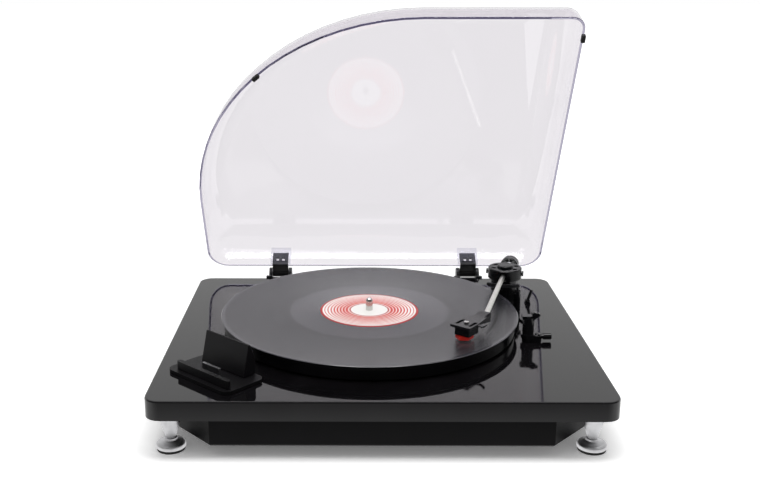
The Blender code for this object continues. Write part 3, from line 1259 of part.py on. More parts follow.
def make_headshell(headshell_axis):
    rear, middle, front = HEADSHELL_REAR_WIDTH / 2, HEADSHELL_MIDDLE_WIDTH / 2, HEADSHELL_FRONT_WIDTH / 2
    outline = [(-rear, 0), (-middle, -HEADSHELL_SHOULDER), (-front, -HEADSHELL_LENGTH),
               (front, -HEADSHELL_LENGTH), (middle, -HEADSHELL_SHOULDER), (rear, 0)]
    shell = prism("headshell", outline, HEADSHELL_UNDER, HEADSHELL_TOP_LOCAL, headshell_axis)
    top = TUBE_RADIUS + CLEARANCE + HEADSHELL_GRIP_WALL
    hump = [(0, top), (-HEADSHELL_RISE_FLAT, top), (-HEADSHELL_RISE_LENGTH, HEADSHELL_TOP_LOCAL),
            (-HEADSHELL_RISE_LENGTH, HEADSHELL_UNDER + FUSE), (-HEADSHELL_RISE_LENGTH, -top), (0, -top)]
    inner = rear - FUSE / 4
    join(shell, side_prism("headshell_hump", hump, -inner, inner, headshell_axis))
    low = HEADSHELL_UNDER - HEADSHELL_SKIRT
    for side, name in ((-1, "headshell_left_skirt"), (1, "headshell_right_skirt")):
        lean = (middle - rear) / HEADSHELL_SHOULDER * HEADSHELL_SKIRT_LENGTH
        near = [(side * rear, 0), (side * (rear - HEADSHELL_SKIRT_WALL), 0)]
        far = [(x + side * lean, -HEADSHELL_SKIRT_LENGTH) for x, y in near]
        inset = FUSE / 8 * side
        rings = [
            [(near[0][0] - inset, 0, low), (near[1][0], 0, low), (near[1][0], 0, HEADSHELL_UNDER + FUSE),
             (near[0][0] - inset, 0, HEADSHELL_UNDER + FUSE)],
            [(far[0][0] - inset, far[0][1], HEADSHELL_UNDER), (far[1][0], far[1][1], HEADSHELL_UNDER),
             (far[1][0], far[1][1], HEADSHELL_UNDER + FUSE),
             (far[0][0] - inset, far[0][1], HEADSHELL_UNDER + FUSE)],
        ]
        join(shell, loft(name, rings, headshell_axis))
    half = LIFT_WIDTH / 2
    edge = middle - FUSE
    lift = [(edge, HEADSHELL_UNDER + LIFT_THICKNESS / 2), (edge + LIFT_REACH * 2 / 3, HEADSHELL_UNDER),
            (edge + LIFT_REACH, HEADSHELL_TOP_LOCAL), (edge + LIFT_REACH, HEADSHELL_TOP_LOCAL + LIFT_THICKNESS),
            (edge + LIFT_REACH * 2 / 3, HEADSHELL_UNDER + LIFT_THICKNESS),
            (edge, HEADSHELL_UNDER + LIFT_THICKNESS * 3 / 2)]
    join(shell, front_prism("headshell_lift", lift, -LIFT_PLACE - half, -LIFT_PLACE + half, headshell_axis))
    slots = []
    for side, name in ((-1, "headshell_left_slot"), (1, "headshell_right_slot")):
        x = side * SLOT_PITCH / 2
        corner = rounded_rectangle(SLOT_WIDTH, SLOT_LENGTH, SLOT_WIDTH / 2,
                                   (x, -SLOT_START - SLOT_LENGTH / 2), SLOT_END_STEPS)
        slots.append(prism(name, corner, HEADSHELL_UNDER - OVERRUN, HEADSHELL_TOP_LOCAL + OVERRUN,
                           headshell_axis))
    middle_y = -SLOT_START - SLOT_LENGTH / 2
    screw_hole = rods("headshell_screw_hole", MOUNT_SCREW_RADIUS + CLEARANCE, HEADSHELL_UNDER - OVERRUN,
                      HEADSHELL_TOP_LOCAL + OVERRUN, [(0, middle_y)], headshell_axis)
    bore = turned("headshell_bore", cylinder_profile(TUBE_RADIUS + CLEARANCE, -HEADSHELL_RISE_LENGTH,
                                                     TUBE_GRIP + CLEARANCE), headshell_axis,
                  ROUND_STEPS * 2 // 3)
    turn = Matrix.Rotation(HEADSHELL_TURN, 4, "Z") @ Matrix.Rotation(QUARTER_TURN + ARM_SLOPE, 4, "X")
    bore.data.transform(turn)
    paint(cut(shell, *slots, screw_hole, bore), GREY, 0.4)

    top = HEADSHELL_UNDER - CLEARANCE
    half = CARTRIDGE_WIDTH / 2
    body = box("cartridge", (-half, -CARTRIDGE_START - CARTRIDGE_LENGTH, top - CARTRIDGE_HEIGHT),
               (half, -CARTRIDGE_START, top), headshell_axis)
    hold = CARTRIDGE_HEIGHT * CARTRIDGE_HOLD_SHARE
    thread = rods("cartridge_thread", MOUNT_SCREW_RADIUS + CLEARANCE, top - hold - CLEARANCE, top + OVERRUN,
                  [(0, middle_y)], headshell_axis)
    paint(cut(body, thread), BLACK, 0.35)
    seat = HEADSHELL_TOP_LOCAL + CLEARANCE
    length = HEADSHELL_THICKNESS + 2 * CLEARANCE + hold
    profile = [(0, -length), (MOUNT_SCREW_RADIUS, -length), (MOUNT_SCREW_RADIUS, 0), (MOUNT_HEAD_RADIUS, 0),
               (MOUNT_HEAD_RADIUS, MOUNT_HEAD_HEIGHT), (0, MOUNT_HEAD_HEIGHT)]
    paint(turned("cartridge_screw", profile, headshell_axis, SMALL_STEPS, [(0, middle_y, seat)]),
          SILVER, 0.25, 1.0)

    top -= CARTRIDGE_HEIGHT + CLEARANCE
    half = STYLUS_WIDTH / 2
    back, end = -STYLUS_START, -STYLUS_START - STYLUS_LENGTH
    outline = [(-half, back), (-half, end + STYLUS_NOSE), (0, end), (half, end + STYLUS_NOSE), (half, back)]
    holder = prism("stylus", outline, top - STYLUS_HEIGHT, top, headshell_axis)
    record = RECORD_TOP + CLEARANCE - (ARM_AXIS_HEIGHT - ARM_DROP)
    tip = [(0, record), (TIP_RADIUS / 3, record), (TIP_RADIUS, top - STYLUS_HEIGHT + FUSE),
           (0, top - STYLUS_HEIGHT + FUSE)]
    needle = turned("stylus_tip", tip, headshell_axis, SCREW_STEPS, [(0, end + 2 * TIP_RADIUS + FUSE, 0)])
    paint(join(holder, needle), RED, 0.4)

# Heights of the lift and the rest, each just under the tube when the arm is down
CUE_TOP = tube_height(CUE_RADIUS + CUE_BAR_WIDTH / 2) - TUBE_RADIUS - CLEARANCE
REST_DISTANCE = math.hypot(REST_X - ARM_X, REST_Y - ARM_Y)
CRADLE_TOP = tube_height(REST_DISTANCE + REST_CAP_DEPTH / 2) - TUBE_RADIUS - CLEARANCE
CLIP_PIVOT_Z = CRADLE_TOP + CLIP_PIVOT_RISE


def arm_arc(radius, start, end, steps):
    """Points round the arm's upright axis; angles count from straight ahead, towards the platter."""
    angles = [start + (end - start) * step / steps for step in range(steps + 1)]
    return [(ARM_X - radius * math.sin(a), ARM_Y - radius * math.cos(a)) for a in angles]


def make_cue_lift(deck, cue_axis):
    inner, outer = CUE_RADIUS - CUE_BAR_WIDTH / 2, CUE_RADIUS + CUE_BAR_WIDTH / 2
    low = CUE_TOP - CUE_BAR_HEIGHT
    outline = arm_arc(outer, CUE_START, CUE_END, ARC_STEPS) + arm_arc(inner, CUE_END, CUE_START, ARC_STEPS)
    bar = prism("cue_platform", outline, low, CUE_TOP, cue_axis)
    rod_end = CUE_POST_TOP - CUE_ROD_DEPTH
    rod = rods("cue_rod", CUE_ROD_RADIUS, rod_end, low + FUSE, [cue_post_place()], cue_axis)
    paint(join(bar, rod), BLACK, 0.4)
    bore = CUE_ROD_RADIUS + CLEARANCE
    profile = [
        (0, -PLINTH_WALL - PEG_PROUD), (PEG_RADIUS, -PLINTH_WALL - PEG_PROUD), (PEG_RADIUS, CLEARANCE),
        (CUE_POST_RADIUS, CLEARANCE), (CUE_POST_RADIUS, CUE_POST_TOP), (bore, CUE_POST_TOP),
        (bore, rod_end - CLEARANCE), (0, rod_end - CLEARANCE),
    ]
    paint(turned("cue_post", profile, deck, SMALL_STEPS, [(*cue_post_place(), 0)]), GREY, 0.4)


def make_arm_rest(deck, clip_axis):
    cap_low = CRADLE_TOP - REST_CAP_HEIGHT
    profile = [
        (0, -PLINTH_WALL - PEG_PROUD), (PEG_RADIUS, -PLINTH_WALL - PEG_PROUD), (PEG_RADIUS, CLEARANCE),
        (REST_RADIUS, CLEARANCE), (REST_RADIUS, REST_COLLAR_START),
        (REST_COLLAR_RADIUS, REST_COLLAR_START + REST_CHEEK / 2), (REST_COLLAR_RADIUS, REST_COLLAR_END),
        (REST_RADIUS, REST_COLLAR_END), (REST_RADIUS, cap_low + FUSE), (0, cap_low + FUSE),
    ]
    post = turned("arm_rest", profile, deck, ROUND_STEPS, [(REST_X, REST_Y, 0)])
    half_x, half_y = REST_CAP_WIDTH / 2, REST_CAP_DEPTH / 2
    join(post, box("rest_cap", (REST_X - half_x, REST_Y - half_y, cap_low),
                   (REST_X + half_x, REST_Y + half_y, CRADLE_TOP), deck))
    pivot_x = REST_X + CLIP_PIVOT_X
    front = REST_Y - half_y + CLIP_DEPTH + CLEARANCE
    bore = CLIP_PIN_RADIUS + CLEARANCE
    cheek = box("rest_cheek", (REST_X + TUBE_RADIUS + REST_CHEEK / 2, front, cap_low),
                (pivot_x + CLIP_EYE_RADIUS, REST_Y + half_y, CRADLE_TOP + REST_CHEEK_RISE), deck)
    join(post, cheek)
    room = box("rest_clip_room", (pivot_x - CLIP_EYE_RADIUS - 2 * CLEARANCE, REST_Y - half_y - OVERRUN,
                                  cap_low - OVERRUN),
               (pivot_x + CLIP_EYE_RADIUS + OVERRUN, front, CRADLE_TOP + OVERRUN), deck)
    pin_hole = y_rod("rest_pin_hole", bore, (pivot_x, REST_Y - half_y, CLIP_PIVOT_Z),
                     REST_CAP_DEPTH + OVERRUN, deck)

    ear_x, ear_z = REST_X + LEVER_PIVOT_X, LEVER_PIVOT_Z
    ear_half = LEVER_BOSS_WIDTH / 2 + CLEARANCE
    bm = bmesh.new()
    for side in (-1, 1):
        ends = sorted((REST_Y + side * ear_half, REST_Y + side * (ear_half + LEVER_EAR)))
        ear = [(REST_X + REST_RADIUS / 2, CLEARANCE), (ear_x + LEVER_EAR, CLEARANCE),
               (ear_x + LEVER_EAR, ear_z + LEVER_EAR), (REST_X + REST_RADIUS / 2, ear_z + LEVER_EAR)]
        add_loft(bm, [[(x, y, z) for x, z in ear] for y in ends])
    join(post, from_bmesh("rest_ears", bm, deck))
    lever_hole = y_rod("rest_lever_hole", LEVER_PIN_RADIUS + CLEARANCE,
                       (ear_x, REST_Y - ear_half - LEVER_EAR - OVERRUN, ear_z),
                       2 * (ear_half + LEVER_EAR + OVERRUN), deck)
    paint(cut(post, room, pin_hole, lever_hole), BLACK, 0.35)

    depth = CLIP_DEPTH
    start = -half_y + REST_Y - clip_axis.location.y
    middle = TUBE_RADIUS + CLIP_GAP + CLIP_THICKNESS / 2
    tube_z = tube_height(REST_DISTANCE) - CLIP_PIVOT_Z
    path = [(0, 0)] + arc((-CLIP_PIVOT_X, tube_z), middle, CLIP_START, CLIP_END, ARC_STEPS)
    hook = front_prism("arm_clip", ribbon(path, CLIP_THICKNESS), start, start + depth, clip_axis)
    eye = y_rod("clip_eye", CLIP_EYE_RADIUS, (0, start, 0), depth, clip_axis)
    pin = y_rod("clip_pin", CLIP_PIN_RADIUS, (0, start + FUSE, 0), REST_CAP_DEPTH - FUSE, clip_axis)
    paint(join(hook, eye, pin), BLACK, 0.35)


def ribbon(path, thickness):
    """The outline of a flat strip along a path: the path moved half its thickness to each side."""
    left, right = [], []
    for i, point in enumerate(path):
        before, after = Vector(path[max(i - 1, 0)]), Vector(path[min(i + 1, len(path) - 1)])
        along = (after - before).normalized()
        side = Vector((-along.y, along.x)) * thickness / 2
        left.append(tuple(Vector(point) + side))
        right.append(tuple(Vector(point) - side))
    return left + right[::-1]


def y_rod(name, radius, start, length, parent, steps=SMALL_STEPS):
    """A rod that runs rearwards along Y from its starting place."""
    bm = bmesh.new()
    add_turned(bm, cylinder_profile(radius, 0, length), steps)
    made = from_bmesh(name, bm, parent)
    made.data.transform(Matrix.Translation(start) @ Matrix.Rotation(-QUARTER_TURN, 4, "X"))
    return made


def make_levers(deck, cue_lever_axis, selector_axis):
    """Both levers carry their own pins, which turn in the ears beside them."""
    half = LEVER_BOSS_WIDTH / 2
    boss = y_rod("cue_lever", LEVER_RADIUS, (0, -half, 0), LEVER_BOSS_WIDTH, cue_lever_axis)
    handle = sideways(cylinder_profile(LEVER_RADIUS - FUSE / 4, 0, LEVER_LENGTH), [0], "cue_lever_handle",
                      cue_lever_axis)
    grip = sideways(cylinder_profile(LEVER_GRIP_RADIUS, LEVER_GRIP_START, LEVER_LENGTH + FUSE), [0],
                    "cue_lever_grip", cue_lever_axis)
    half += CLEARANCE + LEVER_EAR
    pin = y_rod("cue_lever_pin", LEVER_PIN_RADIUS, (0, -half, 0), 2 * half, cue_lever_axis)
    paint(join(boss, handle, grip, pin), BLACK, 0.35)

    half = SELECTOR_EAR
    boss = y_rod("speed_selector", SELECTOR_RADIUS + SELECTOR_EAR / 2, (0, -half, 0), 2 * half, selector_axis)
    handle = rods("selector_handle", SELECTOR_RADIUS, 0, SELECTOR_LENGTH, [(0, 0)], selector_axis)
    half = 2 * SELECTOR_EAR + CLEARANCE
    pin = y_rod("selector_pin", CLIP_PIN_RADIUS, (0, -half, 0), 2 * half, selector_axis)
    paint(join(boss, handle, pin), BLACK, 0.4)


def selector_height():
    return CLEARANCE + SIDE_PLATE_THICKNESS + SELECTOR_EAR_HEIGHT - SELECTOR_EAR


def make_side_plate(deck):
    low, high = CLEARANCE, CLEARANCE + SIDE_PLATE_THICKNESS
    right = ARM_X + SIDE_PLATE_BESIDE
    outline = [(ARM_X, ARM_Y - SIDE_PLATE_LEFT_REACH), (ARM_X + SIDE_PLATE_TIP_ACROSS, ARM_Y - SIDE_PLATE_TIP_REACH),
               (right, ARM_Y - SIDE_PLATE_TURN), (right, ARM_Y + SIDE_PLATE_BEHIND),
               (ARM_X, ARM_Y + COLUMN_RADIUS)]
    plate = prism("arm_side_plate", outline, low, high, deck)
    bm = bmesh.new()
    for side in (-1, 1):
        ends = sorted((SELECTOR_Y + side * (SELECTOR_EAR + CLEARANCE),
                       SELECTOR_Y + side * (2 * SELECTOR_EAR + CLEARANCE)))
        half = SELECTOR_EAR * 2
        add_loft(bm, [[(SELECTOR_X - half, y, low + FUSE), (SELECTOR_X + half, y, low + FUSE),
                       (SELECTOR_X + half / 2, y, high + SELECTOR_EAR_HEIGHT),
                       (SELECTOR_X - half / 2, y, high + SELECTOR_EAR_HEIGHT)] for y in ends])
    join(plate, from_bmesh("selector_ears", bm, deck))
    room = rods("side_plate_column_room", COLUMN_FLANGE_RADIUS + CLEARANCE, low - OVERRUN, high + OVERRUN,
                [(ARM_X, ARM_Y)], deck, ROUND_STEPS)
    post_room = rods("side_plate_post_room", CUE_POST_RADIUS + CLEARANCE, low - OVERRUN, high + OVERRUN,
                     [cue_post_place()], deck)
    pin_hole = y_rod("side_plate_pin_hole", CLIP_PIN_RADIUS + CLEARANCE,
                     (SELECTOR_X, SELECTOR_Y - 2 * SELECTOR_EAR - OVERRUN, selector_height()),
                     4 * SELECTOR_EAR + 2 * OVERRUN, deck)
    join(plate, pegs("side_plate_pegs", side_plate_peg_places(), deck))
    paint(cut(plate, room, post_room, pin_hole), CHARCOAL, 0.5)


def make_dock(dock_axis):
    top = CLEARANCE + DOCK_THICKNESS
    plate = prism("dock_base", rounded_rectangle(DOCK_LENGTH, DOCK_WIDTH, DOCK_CORNER), CLEARANCE, top,
                  dock_axis)
    ledge_y = -DOCK_WIDTH / 2 + LEDGE_INSET + LEDGE_THICKNESS / 2
    ledge_outline = rounded_rectangle(LEDGE_LENGTH, LEDGE_THICKNESS, LEDGE_THICKNESS * LEDGE_ROUND_SHARE,
                                      (LEDGE_SHIFT, ledge_y), SLOT_END_STEPS)
    join(plate, prism("dock_ledge", ledge_outline, top - FUSE, top + LEDGE_HEIGHT, dock_axis))
    paint(join(plate, pegs("dock_pegs", dock_peg_places(), dock_axis)), CHARCOAL, 0.45)

    seat = top + CLEARANCE
    high = seat + BACKREST_HEIGHT
    profile = [(BACKREST_FRONT, seat), (BACKREST_FRONT + BACKREST_LEAN, high),
               (BACKREST_FRONT + BACKREST_LEAN + BACKREST_TIP, high),
               (BACKREST_REAR, seat + BACKREST_SHOULDER), (BACKREST_REAR, seat)]
    half = BACKREST_LENGTH / 2
    paint(side_prism("dock_backrest", profile, -half, half, dock_axis), CHARCOAL, 0.45)
    low = (-PLUG_WIDTH / 2, PLUG_PLACE - PLUG_THICKNESS / 2, seat)
    plug = box("dock_connector", low, (PLUG_WIDTH / 2, PLUG_PLACE + PLUG_THICKNESS / 2, seat + PLUG_HEIGHT),
               dock_axis)
    paint(plug, SILVER, 0.35, 1.0)


def make_motor_cable(deck):
    x, y = motor_place()
    start = -PLINTH_WALL - CLEARANCE - MOTOR_FLANGE - MOTOR_HEIGHT - CLEARANCE
    board_left = BOARD_X - BOARD_WIDTH / 2 - CLEARANCE
    board_middle = BOARD_BACK - BOARD_DEPTH / 2
    level = (BOARD_LOW + BOARD_HIGH) / 2
    drop = start - level
    bend = MOTOR_RADIUS
    route = [(x, y, start), (x, y, start - drop / 3), (x + bend / 3, y + bend / 3, level + drop / 4),
             (x + bend, y + bend, level), (board_left - bend, board_middle + bend / 2, level),
             (board_left - bend / 3, board_middle, level), (board_left, board_middle, level)]
    cable = tube("motor_cable", smooth_route(route, 3), CABLE_RADIUS, deck)
    paint(cable, BLACK, 0.6)


def lid_reach_behind():
    """How far behind its hinge the open lid reaches: the rounded edge between its back wall and its top."""
    straight = LID_DEPTH - LID_FILLET
    forward = -LID_BACK - LID_DRAFT - LID_FILLET
    up = LID_RIM_RISE + straight
    return forward * math.cos(LID_OPEN_ANGLE) + up * math.sin(LID_OPEN_ANGLE) + LID_FILLET


def build():
    clear_scene()
    front, back = -PLINTH_DEPTH / 2, HINGE_Y + lid_reach_behind()
    deck = empty("turntable_origin", (0, -(front + back) / 2, DECK_HEIGHT))
    platter_axis = empty("platter_axis", (PLATTER_X, PLATTER_Y, 0), deck)
    pulley_axis = empty("pulley_axis", (*motor_place(), 0), deck)
    lid_axis = empty("lid_axis", (0, HINGE_Y, HINGE_Z), deck, (-LID_OPEN_ANGLE, 0, 0))
    arm_yaw = empty("arm_yaw_axis", (ARM_X, ARM_Y, 0), deck, (0, 0, -ARM_PLAY_ANGLE))
    arm_pitch = empty("arm_pitch_axis", (0, 0, ARM_AXIS_HEIGHT), arm_yaw)
    headshell_axis = empty("headshell_axis", (0, -TUBE_LENGTH, -ARM_DROP), arm_pitch, (0, 0, -HEADSHELL_TURN))
    cue_axis = empty("cue_axis", (0, 0, 0), deck)
    cue_lever_axis = empty("cue_lever_axis", (REST_X + LEVER_PIVOT_X, REST_Y, LEVER_PIVOT_Z), deck)
    clip_axis = empty("clip_axis", (REST_X + CLIP_PIVOT_X, REST_Y, CLIP_PIVOT_Z), deck, (0, CLIP_OPEN_ANGLE, 0))
    selector_axis = empty("selector_axis", (SELECTOR_X, SELECTOR_Y, selector_height()), deck,
                          (0, SELECTOR_LEAN, 0))
    dock_axis = empty("dock_axis", (DOCK_X, DOCK_Y, 0), deck, (0, 0, DOCK_ANGLE))

    make_plinth(deck)
    make_bottom_plate(deck)
    make_under_housing(deck)
    make_feet(deck)
    make_bearing(deck)
    make_motor(deck)
    make_motor_cable(deck)
    make_board(deck)
    make_sockets(deck)
    make_pulley(pulley_axis)
    make_belt(deck)
    make_platter(platter_axis)
    make_lid(lid_axis)
    make_bumpers(lid_axis)
    make_hinges(deck, lid_axis)
    make_arm_base(deck)
    make_side_plate(deck)
    make_gimbal(arm_yaw)
    make_arm(arm_pitch)
    make_headshell(headshell_axis)
    make_cue_lift(deck, cue_axis)
    make_arm_rest(deck, clip_axis)
    make_levers(deck, cue_lever_axis, selector_axis)
    make_dock(dock_axis)


build()
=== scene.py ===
# %% [markdown]
# # A belt-drive record player in Blender
# The object is a shallow black lacquered plinth on four conical metal feet,
# with a record on its platter, a straight pick-up arm, a corner dock and a
# clear moulded lid held open at sixty degrees. The plain solids of the object
# are loaded first. Everything after this adds finish: round pieces that are
# truly round, soft edges that catch the light, and a material for each
# surface.

import json
import math

import bmesh
import bpy
import numpy as np
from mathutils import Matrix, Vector


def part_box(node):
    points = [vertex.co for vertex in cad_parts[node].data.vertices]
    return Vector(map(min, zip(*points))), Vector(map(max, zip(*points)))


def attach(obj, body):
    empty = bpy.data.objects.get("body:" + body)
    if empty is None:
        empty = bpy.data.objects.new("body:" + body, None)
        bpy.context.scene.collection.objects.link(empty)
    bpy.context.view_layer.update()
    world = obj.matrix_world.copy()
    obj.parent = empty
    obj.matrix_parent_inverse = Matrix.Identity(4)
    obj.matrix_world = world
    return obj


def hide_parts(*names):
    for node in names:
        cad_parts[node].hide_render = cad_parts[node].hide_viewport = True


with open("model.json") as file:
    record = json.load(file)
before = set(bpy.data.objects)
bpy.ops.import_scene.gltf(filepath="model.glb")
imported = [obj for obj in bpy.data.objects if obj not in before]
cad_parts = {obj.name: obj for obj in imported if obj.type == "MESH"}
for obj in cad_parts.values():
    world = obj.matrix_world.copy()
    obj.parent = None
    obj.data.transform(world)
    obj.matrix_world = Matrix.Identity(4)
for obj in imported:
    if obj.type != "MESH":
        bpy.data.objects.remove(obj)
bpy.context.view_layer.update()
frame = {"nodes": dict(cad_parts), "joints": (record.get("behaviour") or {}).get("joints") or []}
print("solids loaded:", len(frame["nodes"]))

# %% [markdown]
# ## Measures that several pieces share
# The deck is the top face of the plinth. The platter's axis, the arm's pivot
# and the joints are read from the solids and their record, so that a new
# piece sits exactly where its solid does.

# %% Measures
MM = 0.001
MM_PER_M = 1000
TURN = 2 * math.pi
JOINT = {joint["name"]: joint for joint in frame["joints"]}
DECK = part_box("plinth_shell")[1].z
PLATTER_CENTRE = Vector(JOINT["platter_turn"]["pos_m"]).xy
PIVOT = Vector(JOINT["arm_swing"]["pos_m"])
LID_AXIS = Vector(JOINT["lid"]["pos_m"])
LID_ANGLE = math.radians(60)
print("deck height in mm:", round(DECK / MM, 2))


# %% [markdown]
# ## Small tools
# Colours are written as sRGB hex values, as a colour picker gives them, and
# one function turns them to the linear values that the shaders work in. One
# more function adds a shader node with its settings and its links.

# %% Colours and shader nodes
def linear(hex_value):
    """sRGB hex to linear: each channel is undone by the sRGB curve."""
    channels = [int(hex_value[i:i + 2], 16) / 255 for i in (1, 3, 5)]
    curve = [c / 12.92 if c <= 0.04045 else ((c + 0.055) / 1.055) ** 2.4
             for c in channels]
    return (*curve, 1.0)


def add_node(material, kind, settings=None, **inputs):
    """Adds a node. Settings are its own fields, or "stops" as (place, colour)
    pairs for a colour ramp. An input is a value, or a link given as (node,
    output name), and no_2 names an input by its number."""
    tree = material.node_tree
    node = tree.nodes.new("ShaderNode" + kind)
    for name, value in (settings or {}).items():
        if name == "stops":
            elements = node.color_ramp.elements
            while len(elements) < len(value):
                elements.new(1.0)
            for element, (at, colour) in zip(elements, value):
                element.position, element.color = at, colour
        else:
            setattr(node, name, value)
    for name, value in inputs.items():
        index = name.replace("_", " ")
        socket = node.inputs[int(index[3:])] if index.startswith("no ") else node.inputs[index]
        if isinstance(value, tuple) and len(value) == 2 and hasattr(value[0], "outputs"):
            tree.links.new(value[0].outputs[value[1]], socket)
        else:
            socket.default_value = value
    return node


def new_material(name):
    """An empty node material with its output node."""
    material = bpy.data.materials.new(name)
    material.use_nodes = True
    material.node_tree.nodes.clear()
    add_node(material, "OutputMaterial")
    return material


def set_surface(material, node, output):
    """Links a shader to the material's output."""
    end = next(n for n in material.node_tree.nodes
               if n.bl_idname == "ShaderNodeOutputMaterial")
    material.node_tree.links.new(node.outputs[output], end.inputs["Surface"])


# %% [markdown]
# ## Surfaces from numbers
# Every new piece is a grid of points worked out with numpy. A turned piece is
# a profile of radius and height carried round an axis. A swept piece is a
# cross-section carried along a path. The grid goes into a mesh in one call.

# %% Grid to mesh
SMOOTH_ANGLE = 35.0
MERGE_WITHIN = 1e-6
SLIVER = 1e-7
ALMOST_ALONG = 0.99


def shade(mesh, angle):
    """Smooth faces, with the edges sharper than the angle kept."""
    mesh.polygons.foreach_set("use_smooth", np.ones(len(mesh.polygons), bool))
    mesh.set_sharp_from_angle(angle=math.radians(angle))


def mesh_object(name, points, faces, smooth_angle=SMOOTH_ANGLE):
    """A mesh object whose place is in its vertices."""
    mesh = bpy.data.meshes.new(name)
    mesh.from_pydata(np.asarray(points, float).tolist(), [], [list(f) for f in faces])
    mesh.validate()
    shade(mesh, smooth_angle)
    mesh.update()
    piece = bpy.data.objects.new(name, mesh)
    bpy.context.scene.collection.objects.link(piece)
    return piece


def grid_faces(rows, columns, wrap_rows=False):
    """Quads between neighbouring rows and columns of a grid of points. The
    last column always joins the first."""
    i = np.arange(rows if wrap_rows else rows - 1)
    j = np.arange(columns)
    i, j = [a.ravel() for a in np.meshgrid(i, j, indexing="ij")]
    i_next, j_next = (i + 1) % rows, (j + 1) % columns
    return np.stack([i * columns + j, i * columns + j_next,
                     i_next * columns + j_next, i_next * columns + j], axis=1)


def axes_matrix(origin, z_axis):
    """Columns x, y, z of a frame whose z runs along z_axis. Its x leans to
    the world's x, or to the world's z where z_axis already runs along x."""
    z = np.asarray(Vector(z_axis).normalized())
    lean = np.array([0.0, 0.0, 1.0] if abs(z[0]) > ALMOST_ALONG else [1.0, 0.0, 0.0])
    x = lean - np.dot(lean, z) * z
    x /= np.linalg.norm(x)
    return np.stack([x, np.cross(z, x), z], axis=1), np.asarray(origin, float)


def turned(name, profile, origin, steps, z_axis=(0, 0, 1), closed=True):
    """Lathe: point (r, z) of the profile goes to (r cos a, r sin a, z) for
    every angle a, along z_axis from origin. A closed profile joins its end
    to its start, else an end on the axis is closed by a fan of one point."""
    profile = np.asarray(profile, float)
    frame_axes, start = axes_matrix(origin, z_axis)
    angle = np.linspace(0, TURN, steps, endpoint=False)
    ring = np.stack([np.cos(angle), np.sin(angle)], axis=1)
    across = profile[:, None, :1] * ring[None]
    height = np.repeat(profile[:, None, 1:], steps, axis=1)
    local = np.concatenate([across, height], axis=2).reshape(-1, 3)
    points = local @ frame_axes.T + start
    piece = mesh_object(name, points, grid_faces(len(profile), steps, wrap_rows=closed))
    tidy_mesh(piece)
    return piece


def tidy_mesh(piece, smooth_angle=SMOOTH_ANGLE):
    """Merges doubled points and points the faces outwards."""
    work = bmesh.new()
    work.from_mesh(piece.data)
    bmesh.ops.remove_doubles(work, verts=work.verts, dist=MERGE_WITHIN)
    bmesh.ops.dissolve_degenerate(work, edges=work.edges, dist=SLIVER)
    bmesh.ops.recalc_face_normals(work, faces=work.faces)
    work.to_mesh(piece.data)
    work.free()
    shade(piece.data, smooth_angle)
    piece.data.update()


def swept(name, section, path, side):
    """Sweep: section points (u, v) ride along the path, u along the side
    direction made square to the path, v square to both. Both ends are
    closed."""
    along = np.gradient(path, axis=0)
    along /= np.linalg.norm(along, axis=1, keepdims=True)
    u = side - (along @ side)[:, None] * along
    u /= np.linalg.norm(u, axis=1, keepdims=True)
    v = np.cross(along, u)
    points = (path[:, None] + section[None, :, :1] * u[:, None]
              + section[None, :, 1:] * v[:, None]).reshape(-1, 3)
    count = len(section)
    faces = [list(f) for f in grid_faces(len(path), count)]
    faces += [list(range(count))[::-1],
              list(range((len(path) - 1) * count, len(path) * count))]
    piece = mesh_object(name, points, faces)
    tidy_mesh(piece)
    return piece


def circle_section(radius, count):
    """Points of a circle: (r cos a, r sin a) for count even angles a."""
    angle = np.linspace(0, TURN, count, endpoint=False)
    return np.stack([np.cos(angle), np.sin(angle)], axis=1) * radius


# %% [markdown]
# ## Soft edges on the moulded solids
# A flat-sided solid keeps its shape, but its knife edges catch no light. A
# copy of its mesh has its doubles merged and its flat faces joined, and gets
# a Bevel of a few tenths of a millimetre, as a mould gives.

# %% Copies with soft edges
SOLID_MERGE = 2e-6
FLAT_WITHIN = math.radians(0.6)
FLAT_FACE_WEIGHT = 100


def softened(node, name, body, bevel_mm, segments=2, angle=40.0):
    """A copy of a node's mesh with merged doubles and rounded edges."""
    mesh = frame["nodes"][node].data.copy()
    piece = bpy.data.objects.new(name, mesh)
    bpy.context.scene.collection.objects.link(piece)
    work = bmesh.new()
    work.from_mesh(mesh)
    bmesh.ops.remove_doubles(work, verts=work.verts, dist=SOLID_MERGE)
    bmesh.ops.dissolve_limit(work, angle_limit=FLAT_WITHIN,
                             verts=work.verts, edges=work.edges)
    work.to_mesh(mesh)
    work.free()
    mesh.materials.clear()
    shade(mesh, angle)
    bevel = piece.modifiers.new("soft edge", "BEVEL")
    bevel.width = bevel_mm * MM
    bevel.segments = segments
    bevel.limit_method = "ANGLE"
    bevel.angle_limit = math.radians(angle)
    bevel.harden_normals = True
    keep_flat = piece.modifiers.new("flat faces", "WEIGHTED_NORMAL")
    keep_flat.weight = FLAT_FACE_WEIGHT
    keep_flat.keep_sharp = True
    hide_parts(node)
    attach(piece, body)
    return piece


def dress(piece, material):
    """Gives a piece its material."""
    piece.data.materials.clear()
    piece.data.materials.append(material)


def place(piece, body, material, slot, *nodes):
    """A new piece rides on a body and stands for the nodes named."""
    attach(piece, body)
    if nodes:
        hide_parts(*nodes)
    dress(piece, material)
    print(piece.name, "vertices:", len(piece.data.vertices))
    return piece


def repaint(material, *nodes):
    """A better material on solids whose shape is already right."""
    for node in nodes:
        slots = frame["nodes"][node].data.materials
        slots.clear()
        slots.append(material)


